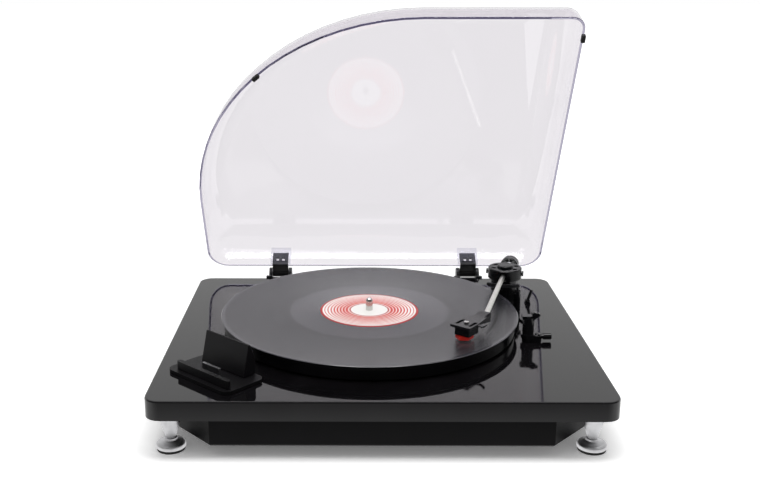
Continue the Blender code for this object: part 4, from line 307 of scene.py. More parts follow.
# %% [markdown]
# ## Camera, backdrop and light
# The picture was taken from a little above the front edge with a short
# telephoto lens. Its frame is off centre, so the camera has a small shift.
# The light that falls on the object is plain and soft, and comes more from
# the front. The backdrop is told apart by the kind of ray: it is white to the
# eye and through the lid, and in reflections it is a room that is dark in
# front and bright behind. The paper floor grows to full white with distance,
# as the curve of a studio's backdrop does, and keeps the shadow near the feet.

# %% Camera
SENSOR = 36.0
FOCAL_SHARE = 1.295
FRAME_SHIFT = (0.0442, -0.0295)
CAMERA_PLACE = (-0.02687, -0.95876, 0.40856)
CAMERA_TILT = math.radians(75.443)
CAMERA_TURN = 0.005
FARTHEST_SEEN = 20
camera_data = bpy.data.cameras.new("camera")
camera_data.sensor_width = SENSOR
camera_data.lens = SENSOR * FOCAL_SHARE
camera_data.shift_x, camera_data.shift_y = FRAME_SHIFT
camera_data.clip_end = FARTHEST_SEEN
camera = bpy.data.objects.new("camera", camera_data)
camera.location = CAMERA_PLACE
camera.rotation_euler = (CAMERA_TILT, 0, CAMERA_TURN)
bpy.context.scene.collection.objects.link(camera)
bpy.context.scene.camera = camera
bpy.context.scene.view_settings.view_transform = "Standard"
print("lens in mm:", round(camera_data.lens, 2))

# %% Backdrop
WORLD_LIGHT = 0.26
LIGHT_IN_FRONT, LIGHT_BEHIND = 2.2 * WORLD_LIGHT, 0.6 * WORLD_LIGHT
LIGHT_TURNS = (-0.9, 0.0)
ROOM_IN_FRONT, ROOM_BEHIND = 0.15, 0.8
ROOM_TURNS = (-0.2, 0.6)
NOT_YET_IN = 0.5
world = bpy.data.worlds.new("studio")
world.use_nodes = True
world.node_tree.nodes.clear()
world_end = add_node(world, "OutputWorld")
rays = add_node(world, "LightPath")
direction = add_node(world, "TexCoord")
parts = add_node(world, "SeparateXYZ", Vector=(direction, "Generated"))
room = add_node(world, "MapRange", Value=(parts, "Y"), no_1=ROOM_TURNS[0], no_2=ROOM_TURNS[1],
                no_3=ROOM_IN_FRONT, no_4=ROOM_BEHIND)
went_in = add_node(world, "Math", {"operation": "GREATER_THAN"},
                   no_0=(rays, "Transmission Depth"), no_1=NOT_YET_IN)
seen = add_node(world, "Math", {"operation": "MAXIMUM"},
                no_0=(rays, "Is Camera Ray"), no_1=(went_in, "Value"))
mirrored = add_node(world, "Math", {"operation": "MULTIPLY"},
                    no_0=(rays, "Is Glossy Ray"), no_1=(room, "Result"))
from_front = add_node(world, "MapRange", Value=(parts, "Y"), no_1=LIGHT_TURNS[0],
                      no_2=LIGHT_TURNS[1], no_3=LIGHT_IN_FRONT, no_4=LIGHT_BEHIND)
plain = add_node(world, "Math", {"operation": "MULTIPLY"},
                 no_0=(rays, "Is Diffuse Ray"), no_1=(from_front, "Result"))
level = add_node(world, "Math", {"operation": "MAXIMUM"},
                 no_0=(mirrored, "Value"), no_1=(plain, "Value"))
level = add_node(world, "Math", {"operation": "MAXIMUM"},
                 no_0=(level, "Value"), no_1=(seen, "Value"))
sky = add_node(world, "Background", Color=linear("#ffffff"), Strength=(level, "Value"))
world.node_tree.links.new(sky.outputs["Background"], world_end.inputs["Surface"])
bpy.context.scene.world = world

# %% Floor
FLOOR_LIFT = 0.12
FLOOR_HALF = 12.0
COVE_FROM, COVE_TO = 0.45, 1.2
DARK_UNTIL, BRIGHT_FROM = -0.34, -0.24
MIRRORED_DARK = 0.14
floor_paint = new_material("white_studio_paper")
rays = add_node(floor_paint, "LightPath")
spot = add_node(floor_paint, "TexCoord")
parts = add_node(floor_paint, "SeparateXYZ", Vector=(spot, "Object"))
paper = add_node(floor_paint, "BsdfDiffuse", Color=linear("#e8e8e8"))
went_in = add_node(floor_paint, "Math", {"operation": "GREATER_THAN"},
                   no_0=(rays, "Transmission Depth"), no_1=NOT_YET_IN)
away = add_node(floor_paint, "VectorMath", {"operation": "LENGTH"}, no_0=(spot, "Object"))
cove = add_node(floor_paint, "MapRange", Value=(away, "Value"), no_1=COVE_FROM, no_2=COVE_TO,
                no_3=FLOOR_LIFT, no_4=1.0)
glow = add_node(floor_paint, "Emission", Color=linear("#ffffff"), Strength=(cove, "Result"))
eye_paper = add_node(floor_paint, "BsdfDiffuse", Color=linear("#a8a8a8"))
to_eye = add_node(floor_paint, "AddShader", no_0=(paper, "BSDF"), no_1=(eye_paper, "BSDF"))
to_eye = add_node(floor_paint, "AddShader", no_0=(to_eye, "Shader"), no_1=(glow, "Emission"))
through_lid = add_node(floor_paint, "Emission", Color=linear("#ffffff"), Strength=1.0)
room = add_node(floor_paint, "MapRange", Value=(parts, "Y"),
                no_1=DARK_UNTIL, no_2=BRIGHT_FROM, no_3=MIRRORED_DARK, no_4=1.0)
mirrored = add_node(floor_paint, "Emission", Color=linear("#ffffff"),
                    Strength=(room, "Result"))
floor_mix = add_node(floor_paint, "MixShader", no_0=(rays, "Is Camera Ray"),
                     no_1=(paper, "BSDF"), no_2=(to_eye, "Shader"))
floor_mix = add_node(floor_paint, "MixShader", no_0=(rays, "Is Glossy Ray"),
                     no_1=(floor_mix, "Shader"), no_2=(mirrored, "Emission"))
floor_mix = add_node(floor_paint, "MixShader", no_0=(went_in, "Value"),
                     no_1=(floor_mix, "Shader"), no_2=(through_lid, "Emission"))
set_surface(floor_paint, floor_mix, "Shader")
corners = np.array([[-1, -1, 0], [1, -1, 0], [1, 1, 0], [-1, 1, 0]]) * FLOOR_HALF
floor = mesh_object("studio_floor", corners, [[0, 1, 2, 3]])
dress(floor, floor_paint)


# %% Lamps
LAMP_AIM = Vector((0, 0, 0.1))


def soft_box(name, place_at, size, watts):
    """A rectangular area lamp that faces the middle of the object."""
    data = bpy.data.lights.new(name, "AREA")
    data.shape = "RECTANGLE"
    data.size, data.size_y = size
    data.energy = watts
    lamp = bpy.data.objects.new(name, data)
    lamp.location = place_at
    lamp.rotation_euler = (LAMP_AIM - lamp.location).to_track_quat("-Z", "Y").to_euler()
    bpy.context.scene.collection.objects.link(lamp)


soft_box("key_box", (-1.5, -1.7, 4.2), (2.4, 2.4), 30)
soft_box("fill_box", (1.9, -1.0, 3.6), (2.2, 2.2), 20)
soft_box("top_box", (0, -0.6, 4.4), (2.8, 1.6), 104)

# %% [markdown]
# ## Moulded and painted finishes
# The plinth is ABS with a piano-black lacquer: nearly mirror smooth, with the
# faint orange peel of sprayed paint. The levers, the rest and the cartridge
# are ABS from a polished mould, the hinges and the dial are left satin by a
# fine mould grain, and the dock is coarser and matte. The platter, the
# bearing housing and the counterweight are metal under black stove enamel.
# Each finish is one colour with a cloudiness of a few centimetres, and one
# fine noise that drives both the roughness and the relief, because on a
# moulded skin the two come from the same grain. The patterns are laid out in
# metres, so a scale of 1000 over a size in millimetres gives spots that size.


# %% Plastics
CLOUD_MM = 30.0
GRAIN_RANGE = (0.3, 0.7)
SMOOTHER, ROUGHER = 0.85, 1.15


def moulded(name, colour, colour_worn, roughness, grain_mm, depth_mm, shine=0.5):
    """ABS: a body colour with slight cloudiness and a mould's grain."""
    material = new_material(name)
    spot = add_node(material, "TexCoord")
    cloud = add_node(material, "TexNoise", Vector=(spot, "Object"),
                     Scale=MM_PER_M / CLOUD_MM, Detail=3.0)
    stops = [(0.35, linear(colour)), (0.7, linear(colour_worn))]
    tone = add_node(material, "ValToRGB", {"stops": stops}, Fac=(cloud, "Fac"))
    fine = add_node(material, "TexNoise", Vector=(spot, "Object"),
                    Scale=MM_PER_M / grain_mm, Detail=3.0)
    gloss = add_node(material, "MapRange", Value=(fine, "Fac"),
                     no_1=GRAIN_RANGE[0], no_2=GRAIN_RANGE[1],
                     no_3=SMOOTHER * roughness, no_4=ROUGHER * roughness)
    relief = add_node(material, "Bump", Height=(fine, "Fac"), Strength=0.5,
                      Distance=depth_mm * MM)
    shader = add_node(material, "BsdfPrincipled", Base_Color=(tone, "Color"),
                      Roughness=(gloss, "Result"), Normal=(relief, "Normal"), IOR=1.5,
                      Specular_IOR_Level=shine)
    set_surface(material, shader, "BSDF")
    return material


# Lacquer mirrors sharply, its orange peel is 9 mm wide and hardly deep.
black_lacquer = moulded("piano_black_lacquer", "#0b0a0c", "#100f11", 0.05, 9.0, 0.006)
# Black ABS: satin spreads the light, gloss keeps a soft highlight, and the
# coarse textures of the housing and the dock stay dark from every side.
satin_abs = moulded("satin_black_abs", "#141416", "#1b1b1d", 0.32, 0.6, 0.02, 0.35)
gloss_abs = moulded("gloss_black_abs", "#0b0b0d", "#101012", 0.12, 2.0, 0.008, 0.4)
housing_abs = moulded("textured_black_abs", "#050506", "#09080a", 0.4, 1.2, 0.04, 0.12)
dock_abs = moulded("matte_charcoal_abs", "#0a090b", "#100f12", 0.45, 0.8, 0.03, 0.2)
# Coloured plastics, the tongue's painted sheen, and the ink of the dial.
stylus_red = moulded("red_stylus_polystyrene", "#b3231b", "#cf2f25", 0.22, 1.5, 0.01)
board_lacquer = moulded("green_solder_mask", "#0f3a20", "#16502c", 0.3, 2.0, 0.02)
# The hinge tongue is moulded with its black leaf; its lighter grey is painted sheen, for the
# light of the clear pocket in front of it.
tongue_painted_pocket_sheen = moulded("abs_tongue_painted_pocket_sheen", "#2e2d33", "#38373e", 0.6, 0.8, 0.02)
white_ink = moulded("white_printing_ink", "#d9d9d6", "#e2e2df", 0.5, 1.0, 0.004)
# Stove enamel runs smooth in the oven, so it has wide, blurred highlights.
dark_enamel = moulded("black_stove_enamel", "#070709", "#0c0c0e", 0.2, 1.4, 0.012, 0.25)
grey_enamel = moulded("dark_satin_enamel", "#131216", "#1a191d", 0.18, 1.0, 0.012)

# %% [markdown]
# ## Rubber, felt and metal
# Rubber is dull and slightly dusty. The slip mat is wool felt: short fibres
# that scatter light at the edges. The feet and collars are turned aluminium,
# brushed lengthwise into fine rings by the lathe. The small screws and the
# spindle are bright plated steel.

# %% Rubber and felt
DUST_MM, PORE_MM = 5.0, 0.5
TUFT_MM, FIBRE_MM = 2.5, 0.45
black_rubber = new_material("black_synthetic_rubber")
spot = add_node(black_rubber, "TexCoord")
dust = add_node(black_rubber, "TexNoise", Vector=(spot, "Object"),
                Scale=MM_PER_M / DUST_MM, Detail=4.0)
tone = add_node(black_rubber, "ValToRGB", {"stops": [
    (0.4, linear("#151515")), (0.8, linear("#2c2b2a"))]}, Fac=(dust, "Fac"))
pores = add_node(black_rubber, "TexNoise", Vector=(spot, "Object"),
                 Scale=MM_PER_M / PORE_MM, Detail=3.0)
relief = add_node(black_rubber, "Bump", Height=(pores, "Fac"), Strength=0.6, Distance=0.05 * MM)
shader = add_node(black_rubber, "BsdfPrincipled", Base_Color=(tone, "Color"),
                  Roughness=0.75, Normal=(relief, "Normal"))
set_surface(black_rubber, shader, "BSDF")

wool_felt = new_material("black_wool_felt")
spot = add_node(wool_felt, "TexCoord")
tuft = add_node(wool_felt, "TexNoise", Vector=(spot, "Object"),
                Scale=MM_PER_M / TUFT_MM, Detail=4.0)
fibre = add_node(wool_felt, "TexNoise", Vector=(spot, "Object"),
                 Scale=MM_PER_M / FIBRE_MM, Detail=6.0)
tone = add_node(wool_felt, "ValToRGB", {"stops": [
    (0.3, linear("#0f0f10")), (0.75, linear("#242426"))]}, Fac=(tuft, "Fac"))
relief = add_node(wool_felt, "Bump", Height=(fibre, "Fac"), Strength=1.0, Distance=0.25 * MM)
shader = add_node(wool_felt, "BsdfPrincipled", Base_Color=(tone, "Color"), Roughness=0.95,
                  Normal=(relief, "Normal"), Sheen_Weight=0.5, Sheen_Roughness=0.4)
set_surface(wool_felt, shader, "BSDF")


# %% Metals
BLOT_MM = 6.0
PIT_MM = 0.8
WORN_SHARE = 0.93
ACROSS_LINES = 0.02


def metal(name, colour, roughness, line_mm=0.0, depth_mm=0.01):
    """A metal with blotches of wear. With line_mm it carries the rings of a
    lathe's feed, which are lines of equal height along Z: the noise is drawn
    out fifty times across them. Else it has fine pits."""
    material = new_material(name)
    spot = add_node(material, "TexCoord")
    blot = add_node(material, "TexNoise", Vector=(spot, "Object"),
                    Scale=MM_PER_M / BLOT_MM, Detail=3.0)
    gloss = add_node(material, "MapRange", Value=(blot, "Fac"),
                     no_1=GRAIN_RANGE[0], no_2=GRAIN_RANGE[1],
                     no_3=SMOOTHER * roughness, no_4=ROUGHER * roughness)
    worn = tuple(WORN_SHARE * channel for channel in linear(colour)[:3]) + (1.0,)
    tone = add_node(material, "ValToRGB", {"stops": [(0.3, linear(colour)), (0.75, worn)]},
                    Fac=(blot, "Fac"))
    squeeze = (ACROSS_LINES, ACROSS_LINES, 1.0) if line_mm else (1.0, 1.0, 1.0)
    stretch = add_node(material, "Mapping", Vector=(spot, "Object"), Scale=squeeze)
    lines = add_node(material, "TexNoise", Vector=(stretch, "Vector"),
                     Scale=MM_PER_M / (line_mm or PIT_MM), Detail=3.0)
    relief = add_node(material, "Bump", Height=(lines, "Fac"),
                      Strength=0.6 if line_mm else 0.3, Distance=depth_mm * MM)
    shader = add_node(material, "BsdfPrincipled", Base_Color=(tone, "Color"), Metallic=1.0,
                      Roughness=(gloss, "Result"), Normal=(relief, "Normal"))
    set_surface(material, shader, "BSDF")
    return material


turned_aluminium = metal("satin_turned_aluminium", "#e4e4e6", 0.48, 0.5, 0.012)
plated_steel = metal("nickel_plated_steel", "#d3d2cf", 0.14)
anodised_tube = metal("clear_anodised_aluminium", "#e6e5e0", 0.36)
zinc_steel = metal("zinc_plated_steel", "#9d9da0", 0.38)
turned_brass = metal("turned_brass", "#b08d4a", 0.3, 0.4)

# %% [markdown]
# ## The plinth and what is under it
# The plinth is a shallow lacquered tray, and a narrower housing hangs under
# it with its front corners cut back. Both are moulded, so copies of their
# solids with softened edges are enough.

# %% Plinth and housing
plinth = softened("plinth_shell", "plinth_lacquered", "base", 0.7, 3)
dress(plinth, black_lacquer)
housing = softened("under_housing", "housing_moulded", "base", 0.8, 2)
dress(housing, housing_abs)
repaint(housing_abs, "bottom_plate")
repaint(board_lacquer, "main_board")
repaint(zinc_steel, "drive_motor", "usb_socket", "dock_connector",
        "hinge_pin_left", "hinge_pin_right")
repaint(turned_brass, "spindle_bearing", "motor_pulley")
repaint(satin_abs, "motor_cable", "power_inlet")
repaint(plated_steel, "rca_sockets", "motor_shaft", "cartridge_screw", "gimbal_shaft")
repaint(gloss_abs, "gimbal_pivot_left", "gimbal_pivot_right")
repaint(black_rubber, "drive_belt")

# %% [markdown]
# ## Conical feet
# Each foot is one turned aluminium cone: a short barrel, a taper down to a
# narrow neck, a collar and a broad disc, which stands on a rubber pad. The
# profile is a chain of points with small radii at its corners, and it is
# carried round the foot's axis.


# %% Rounded profiles
CORNER_STEPS = 4
NEAR_HALF = 0.45


def rounded(profile, radius_mm):
    """Replaces each inner corner of an open profile by a short curve: a
    quadratic Bezier that starts and ends radius_mm from the corner, or nearly
    half a side from it where a side is short."""
    points = [np.asarray(p, float) for p in profile]
    out = [points[0]]
    for before, corner, after in zip(points, points[1:], points[2:]):
        a, b = before - corner, after - corner
        shorter = min(np.linalg.norm(a), np.linalg.norm(b))
        reach = min(radius_mm * MM, NEAR_HALF * shorter)
        start = corner + a / np.linalg.norm(a) * reach
        end = corner + b / np.linalg.norm(b) * reach
        t = np.linspace(0, 1, CORNER_STEPS + 1)[:, None]
        out += list((1 - t) ** 2 * start + 2 * t * (1 - t) * corner + t ** 2 * end)
    return np.array(out + [points[-1]])


# %% Feet
FOOT_TOP, FOOT_MIDDLE, FOOT_NECK, FOOT_COLLAR = 10.4 * MM, 8.4 * MM, 4.2 * MM, 5.6 * MM
FOOT_STUD = 11 * MM
FOOT_CONE = 27.2 * MM
BARREL_DRAFT, BARREL_LENGTH, CONE_BEND = 0.2 * MM, 5.7 * MM, 14 * MM
COLLAR_HEIGHT = 2.5 * MM
SHOULDER_IN, SHOULDER_DOWN = 2.2 * MM, 3.6 * MM
BROW_IN, BROW_DOWN = 0.3 * MM, 5.2 * MM
RIM_DOWN = 6.4 * MM
for corner in ("front_left", "front_right", "back_left", "back_right"):
    low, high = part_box("foot_" + corner)
    pad_low, pad_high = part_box("foot_pad_" + corner)
    centre = (low + high) / 2
    disc_radius = (high.x - low.x) / 2
    top = high.z - FOOT_STUD
    neck = top - FOOT_CONE
    profile = [(0, top), (FOOT_TOP, top), (FOOT_TOP - BARREL_DRAFT, top - BARREL_LENGTH),
               (FOOT_MIDDLE, top - CONE_BEND), (FOOT_NECK, neck),
               (FOOT_COLLAR, neck), (FOOT_COLLAR, neck - COLLAR_HEIGHT),
               (disc_radius - SHOULDER_IN, neck - SHOULDER_DOWN),
               (disc_radius - BROW_IN, neck - BROW_DOWN),
               (disc_radius, neck - RIM_DOWN), (disc_radius, low.z), (0, low.z)]
    foot = turned("foot_turned_" + corner, rounded(profile, 0.8), (centre.x, centre.y, 0),
                  steps=64, closed=False)
    place(foot, "base", turned_aluminium, "satin_aluminium", "foot_" + corner)
    pad_radius = (pad_high.x - pad_low.x) / 2
    pad_profile = [(0, pad_high.z), (pad_radius, pad_high.z),
                   (pad_radius, pad_low.z), (0, pad_low.z)]
    pad = turned("foot_rubber_" + corner, rounded(pad_profile, 0.5), (centre.x, centre.y, 0),
                 steps=48, closed=False)
    place(pad, "base", black_rubber, "black_rubber", "foot_pad_" + corner)

# %% [markdown]
# ## Platter, mat and record
# The platter is a cast disc turned on a lathe and blackened. A felt mat lies
# on it, and the record on that. A long-playing record is a pressed vinyl disc
# with a raised lip, a band of fine grooves with smooth gaps between its
# tracks, a run-out area and a paper label. Its grooves are far finer than a
# pixel, so they are drawn as coarser rings that give the same streaks of
# light.


# %% Platter and mat
def ring_around(name, profile, radius_mm):
    """A closed ring turned round the platter's axis."""
    return turned(name, rounded(profile, radius_mm), (*PLATTER_CENTRE, 0), steps=160)


HUB_HOLE, HUB_RADIUS = 3.6 * MM, 9 * MM
BELT_RING_OUT, BELT_RING_IN = 90 * MM, 86 * MM
SKIRT_WALL, WEB_THICK, INNER_RAISE = 4 * MM, 3 * MM, 1.5 * MM
low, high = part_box("platter")
radius = (high.x - low.x) / 2
wall = radius - SKIRT_WALL
web = high.z - WEB_THICK
step_down = low.z + INNER_RAISE
platter = ring_around("platter_turned", [
    (HUB_HOLE, high.z), (radius, high.z), (radius, low.z), (wall, low.z), (wall, web),
    (BELT_RING_OUT, web), (BELT_RING_OUT, step_down),
    (BELT_RING_IN, step_down), (BELT_RING_IN, web),
    (HUB_RADIUS, web), (HUB_RADIUS, step_down), (HUB_HOLE, step_down)], 0.3)
place(platter, "platter", dark_enamel, "platter_metal", "platter")
low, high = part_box("slipmat")
radius = (high.x - low.x) / 2
mat = ring_around("felt_mat", [(HUB_HOLE, high.z), (radius, high.z), (radius, low.z),
                               (HUB_HOLE, low.z)], 0.5)
place(mat, "platter", wool_felt, "felt", "slipmat")

# %% Spindle
TIP_RADIUS, CROWN_RADIUS, SPINDLE_RADIUS = 1.4 * MM, 2.9 * MM, 3.55 * MM
CROWN_DOWN, SHAFT_DOWN = 1.3 * MM, 3 * MM
low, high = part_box("platter_spindle")
spindle_profile = [(0, high.z), (TIP_RADIUS, high.z), (CROWN_RADIUS, high.z - CROWN_DOWN),
                   (SPINDLE_RADIUS, high.z - SHAFT_DOWN), (SPINDLE_RADIUS, low.z), (0, low.z)]
spindle = turned("spindle_polished", rounded(spindle_profile, 0.6), (*PLATTER_CENTRE, 0),
                 steps=40, closed=False)
place(spindle, "platter", plated_steel, "polished_steel", "platter_spindle")

# %% [markdown]
# ## Pressed vinyl
# Everything on the disc depends on one number, the distance from the spindle:
# the length of a point's place in the plane once the axis is moved to zero.
# A share runs from 0 at the label's edge to 1 at the rim. A ramp over it says
# where the disc is cut with grooves, and a sine of the distance is the
# grooves themselves. Light that falls on real grooves spreads across them, so
# the shader is anisotropic, with its tangent along the groove.

# %% Distance from the spindle
def from_spindle(material):
    """The place in the plane from the platter's axis, and its length."""
    spot = add_node(material, "TexCoord")
    across = add_node(material, "Mapping", Vector=(spot, "Object"),
                      Location=(-PLATTER_CENTRE.x, -PLATTER_CENTRE.y, 0), Scale=(1, 1, 0))
    distance = add_node(material, "VectorMath", {"operation": "LENGTH"},
                        no_0=(across, "Vector"))
    return spot, across, distance


# %% Vinyl
GROOVE_MM = 0.9
TRACK_GAPS = (0.478, 0.608, 0.748, 0.868)
GAP_HALF = 0.0035
GAP_DEPTH = 0.72
CUT_FROM, CUT_TO = 50 * MM, 150 * MM
RUN_OUT_EDGE, FIRST_GROOVE = 0.30, 0.315
LAST_GROOVE, LIP_EDGE = 0.965, 0.975
LOUDNESS_PER_M = 260.0
vinyl = new_material("pressed_black_vinyl")
_, across, distance = from_spindle(vinyl)
share = add_node(vinyl, "MapRange", Value=(distance, "Value"), no_1=CUT_FROM, no_2=CUT_TO)
bands = [(RUN_OUT_EDGE, 0.0), (FIRST_GROOVE, 1.0)]
for gap in TRACK_GAPS:
    bands += [(gap - GAP_HALF, 1.0), (gap, GAP_DEPTH), (gap + GAP_HALF, 1.0)]
bands += [(LAST_GROOVE, 1.0), (LIP_EDGE, 0.0)]
grooved = add_node(vinyl, "ValToRGB", {"stops": [(at, (v, v, v, 1)) for at, v in bands]},
                   Fac=(share, "Result"))
phase = add_node(vinyl, "Math", {"operation": "MULTIPLY"}, no_0=(distance, "Value"),
                 no_1=TURN / (GROOVE_MM * MM))
wave = add_node(vinyl, "Math", {"operation": "SINE"}, no_0=(phase, "Value"))
loud = add_node(vinyl, "TexNoise", {"noise_dimensions": "1D"}, W=(distance, "Value"),
                Scale=LOUDNESS_PER_M, Detail=4.0)
depth = add_node(vinyl, "Math", {"operation": "MULTIPLY"},
                 no_0=(grooved, "Color"), no_1=(loud, "Fac"))
height = add_node(vinyl, "Math", {"operation": "MULTIPLY"},
                  no_0=(wave, "Value"), no_1=(depth, "Value"))
relief = add_node(vinyl, "Bump", Height=(height, "Value"), Strength=0.6, Distance=0.05 * MM)
gloss = add_node(vinyl, "MapRange", Value=(grooved, "Color"), no_3=0.14, no_4=0.22)
# Real vinyl is nearly black. The greys below are painted sheen: the grooved band is grey, varied
# by the loudness noise, and the smooth run-out and lip are painted a lighter grey, the track
# gaps a little lighter.
painted_groove_sheen = add_node(vinyl, "ValToRGB", {"stops": [
    (0.3, linear("#222225")), (0.7, linear("#303034"))]}, Fac=(loud, "Fac"))
tone = add_node(vinyl, "Mix", {"data_type": "RGBA"}, no_0=(grooved, "Color"),
                no_6=linear("#3e3d42"), no_7=(painted_groove_sheen, "Color"))
along_groove = add_node(vinyl, "VectorMath", {"operation": "CROSS_PRODUCT"},
                        no_0=(across, "Vector"), no_1=(0.0, 0.0, 1.0))
shader = add_node(vinyl, "BsdfPrincipled", Roughness=(gloss, "Result"),
                  Normal=(relief, "Normal"), Tangent=(along_groove, "Vector"),
                  IOR=1.54, Anisotropic=0.75)
vinyl.node_tree.links.new(tone.outputs[2], shader.inputs["Base Color"])
set_surface(vinyl, shader, "BSDF")

# %% Record
LABEL_EDGE, LABEL_BEAD = 50.2 * MM, 51.5 * MM
LABEL_RISE = 0.3 * MM
EDGE_IN, EDGE_DOWN = 0.5 * MM, 0.45 * MM
LIP_IN, LIP_FOOT_IN, LIP_RISE = 1.8 * MM, 3.2 * MM, 0.2 * MM
low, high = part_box("vinyl_record")
radius = (high.x - low.x) / 2
face = high.z - LABEL_RISE
lip = [(LABEL_EDGE, low.z), (radius - EDGE_IN, low.z), (radius, low.z + EDGE_DOWN),
       (radius, face - EDGE_DOWN), (radius - EDGE_IN, face), (radius - LIP_IN, face),
       (radius - LIP_FOOT_IN, face - LIP_RISE), (LABEL_BEAD, face - LIP_RISE),
       (LABEL_EDGE, face)]
record = turned("record_vinyl", lip, (*PLATTER_CENTRE, 0), steps=240)
place(record, "platter", vinyl, "vinyl", "vinyl_record")

# %% [markdown]
# ## Paper label
# The label is printed paper pressed into the disc: white, with a thin dark
# red border, a white middle in a red ring, and between them thin red rings
# that grow thicker towards the middle. All of it is drawn from the distance
# to the spindle. A ring is there where a sine of the distance, lifted by a
# ramp that falls outwards, is above zero.

# %% Label
RING_MM = 3.2
LABEL_RADIUS = 50.0
PAPER_FIBRE_MM = 0.7
RINGS_FROM, RINGS_TO = 0.42, 0.95
THICKEST = 0.85
LINE_EDGE = 0.08
label_paper = new_material("printed_label_paper")
spot, _, distance = from_spindle(label_paper)
share = add_node(label_paper, "MapRange", Value=(distance, "Value"), no_2=LABEL_RADIUS * MM)
WHITE, RED, DARK_RED = linear("#e8e6e2"), linear("#c8240f"), linear("#a90f0c")
ground = add_node(label_paper, "ValToRGB", {"stops": [
    (0.375, WHITE), (0.385, DARK_RED), (0.405, DARK_RED), (0.415, linear("#eadfda")),
    (0.75, linear("#e8e3df")), (0.955, WHITE), (0.962, DARK_RED), (1.0, DARK_RED)]},
    Fac=(share, "Result"))
phase = add_node(label_paper, "Math", {"operation": "MULTIPLY"}, no_0=(distance, "Value"),
                 no_1=TURN / (RING_MM * MM))
wave = add_node(label_paper, "Math", {"operation": "SINE"}, no_0=(phase, "Value"))
thinner = add_node(label_paper, "MapRange", Value=(share, "Result"),
                   no_1=RINGS_FROM, no_2=RINGS_TO, no_3=THICKEST, no_4=-THICKEST)
weighted = add_node(label_paper, "Math", {"operation": "ADD"}, no_0=(wave, "Value"),
                    no_1=(thinner, "Result"))
line = add_node(label_paper, "MapRange", Value=(weighted, "Value"),
                no_1=-LINE_EDGE, no_2=LINE_EDGE)
inside = add_node(label_paper, "ValToRGB", {"stops": [
    (0.42, (0, 0, 0, 1)), (0.43, (1, 1, 1, 1)), (0.93, (1, 1, 1, 1)), (0.94, (0, 0, 0, 1))]},
    Fac=(share, "Result"))
line = add_node(label_paper, "Math", {"operation": "MULTIPLY"}, no_0=(line, "Result"),
                no_1=(inside, "Color"))
tone = add_node(label_paper, "Mix", {"data_type": "RGBA"}, no_0=(line, "Value"),
                no_6=(ground, "Color"), no_7=RED)
fibre = add_node(label_paper, "TexNoise", Vector=(spot, "Object"),
                 Scale=MM_PER_M / PAPER_FIBRE_MM, Detail=4.0)
relief = add_node(label_paper, "Bump", Height=(fibre, "Fac"), Strength=0.4,
                  Distance=0.02 * MM)
shader = add_node(label_paper, "BsdfPrincipled", Roughness=0.5, Normal=(relief, "Normal"))
label_paper.node_tree.links.new(tone.outputs[2], shader.inputs["Base Color"])
set_surface(label_paper, shader, "BSDF")
PAPER_EDGE, PAPER_FLAT, PAPER_DROP = 49.8 * MM, 49.4 * MM, 0.05 * MM
DENT_OUT, DENT_MIDDLE, DENT_IN, DENT_DEPTH = 17.2 * MM, 16.6 * MM, 16.0 * MM, 0.12 * MM
label = turned("record_label", [
    (HUB_HOLE, low.z), (LABEL_EDGE, low.z), (LABEL_EDGE, face),
    (PAPER_EDGE, high.z - PAPER_DROP), (PAPER_FLAT, high.z), (DENT_OUT, high.z),
    (DENT_MIDDLE, high.z - DENT_DEPTH), (DENT_IN, high.z), (HUB_HOLE, high.z)],
    (*PLATTER_CENTRE, 0), steps=120)
place(label, "platter", label_paper, "vinyl", "vinyl_record")

# %% [markdown]
# ## The pick-up arm
# The arm turns on a drum-shaped bearing housing. At rest it points inwards,
# so its pieces are placed in its own frame: x across the arm, y back towards
# the counterweight, z up, all measured from the pivot.

# %% Frame of the arm
ARM_TURN = math.radians(16.5)
ARM_X = np.array([math.cos(ARM_TURN), -math.sin(ARM_TURN), 0])
ARM_Y = np.array([math.sin(ARM_TURN), math.cos(ARM_TURN), 0])
UP = np.array([0, 0, 1.0])
PIVOT_POINT = np.asarray(PIVOT, float)


def on_arm(x_mm, y_mm, z_mm):
    """A place in the arm's frame, in millimetres from the pivot."""
    return PIVOT_POINT + (x_mm * ARM_X + y_mm * ARM_Y + z_mm * UP) * MM


# %% Bearing housing
low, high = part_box("arm_gimbal")
DRUM_CENTRE = (PIVOT.x, PIVOT.y, 0)
DRUM_ROOF = high.z - 1.4 * MM
CAP_TOP, CAP_FOOT = high.z + 0.8 * MM, DRUM_ROOF - 0.3 * MM
CAP_BEVEL_AT = high.z + 0.2 * MM
drum = softened("arm_gimbal", "bearing_housing", "arm_pivot", 0.35, 2, 30)
dress(drum, dark_enamel)
boss_profile = [(0, CAP_TOP), (7.4 * MM, CAP_TOP), (8.3 * MM, CAP_BEVEL_AT),
                (8.6 * MM, CAP_FOOT), (0, CAP_FOOT)]
boss = turned("bearing_cap", rounded(boss_profile, 0.5), DRUM_CENTRE, steps=64, closed=False)
place(boss, "arm_pivot", dark_enamel, "arm_black")
column = softened("arm_base", "arm_column", "base", 0.3, 2, 30)
dress(column, gloss_abs)

# %% Silver washer between housing and column
WASHER_HOLE, WASHER_FLAT, WASHER_EDGE = 8 * MM, 15.6 * MM, 15.9 * MM
WASHER_GAP, WASHER_THICK = 0.1 * MM, 0.2 * MM
washer_top = low.z - WASHER_GAP
washer = turned("bearing_washer", [
    (WASHER_HOLE, washer_top), (WASHER_FLAT, washer_top),
    (WASHER_EDGE, washer_top - WASHER_THICK),
    (WASHER_HOLE, washer_top - WASHER_THICK)], DRUM_CENTRE, steps=72)
place(washer, "arm_pivot", plated_steel, "polished_steel")

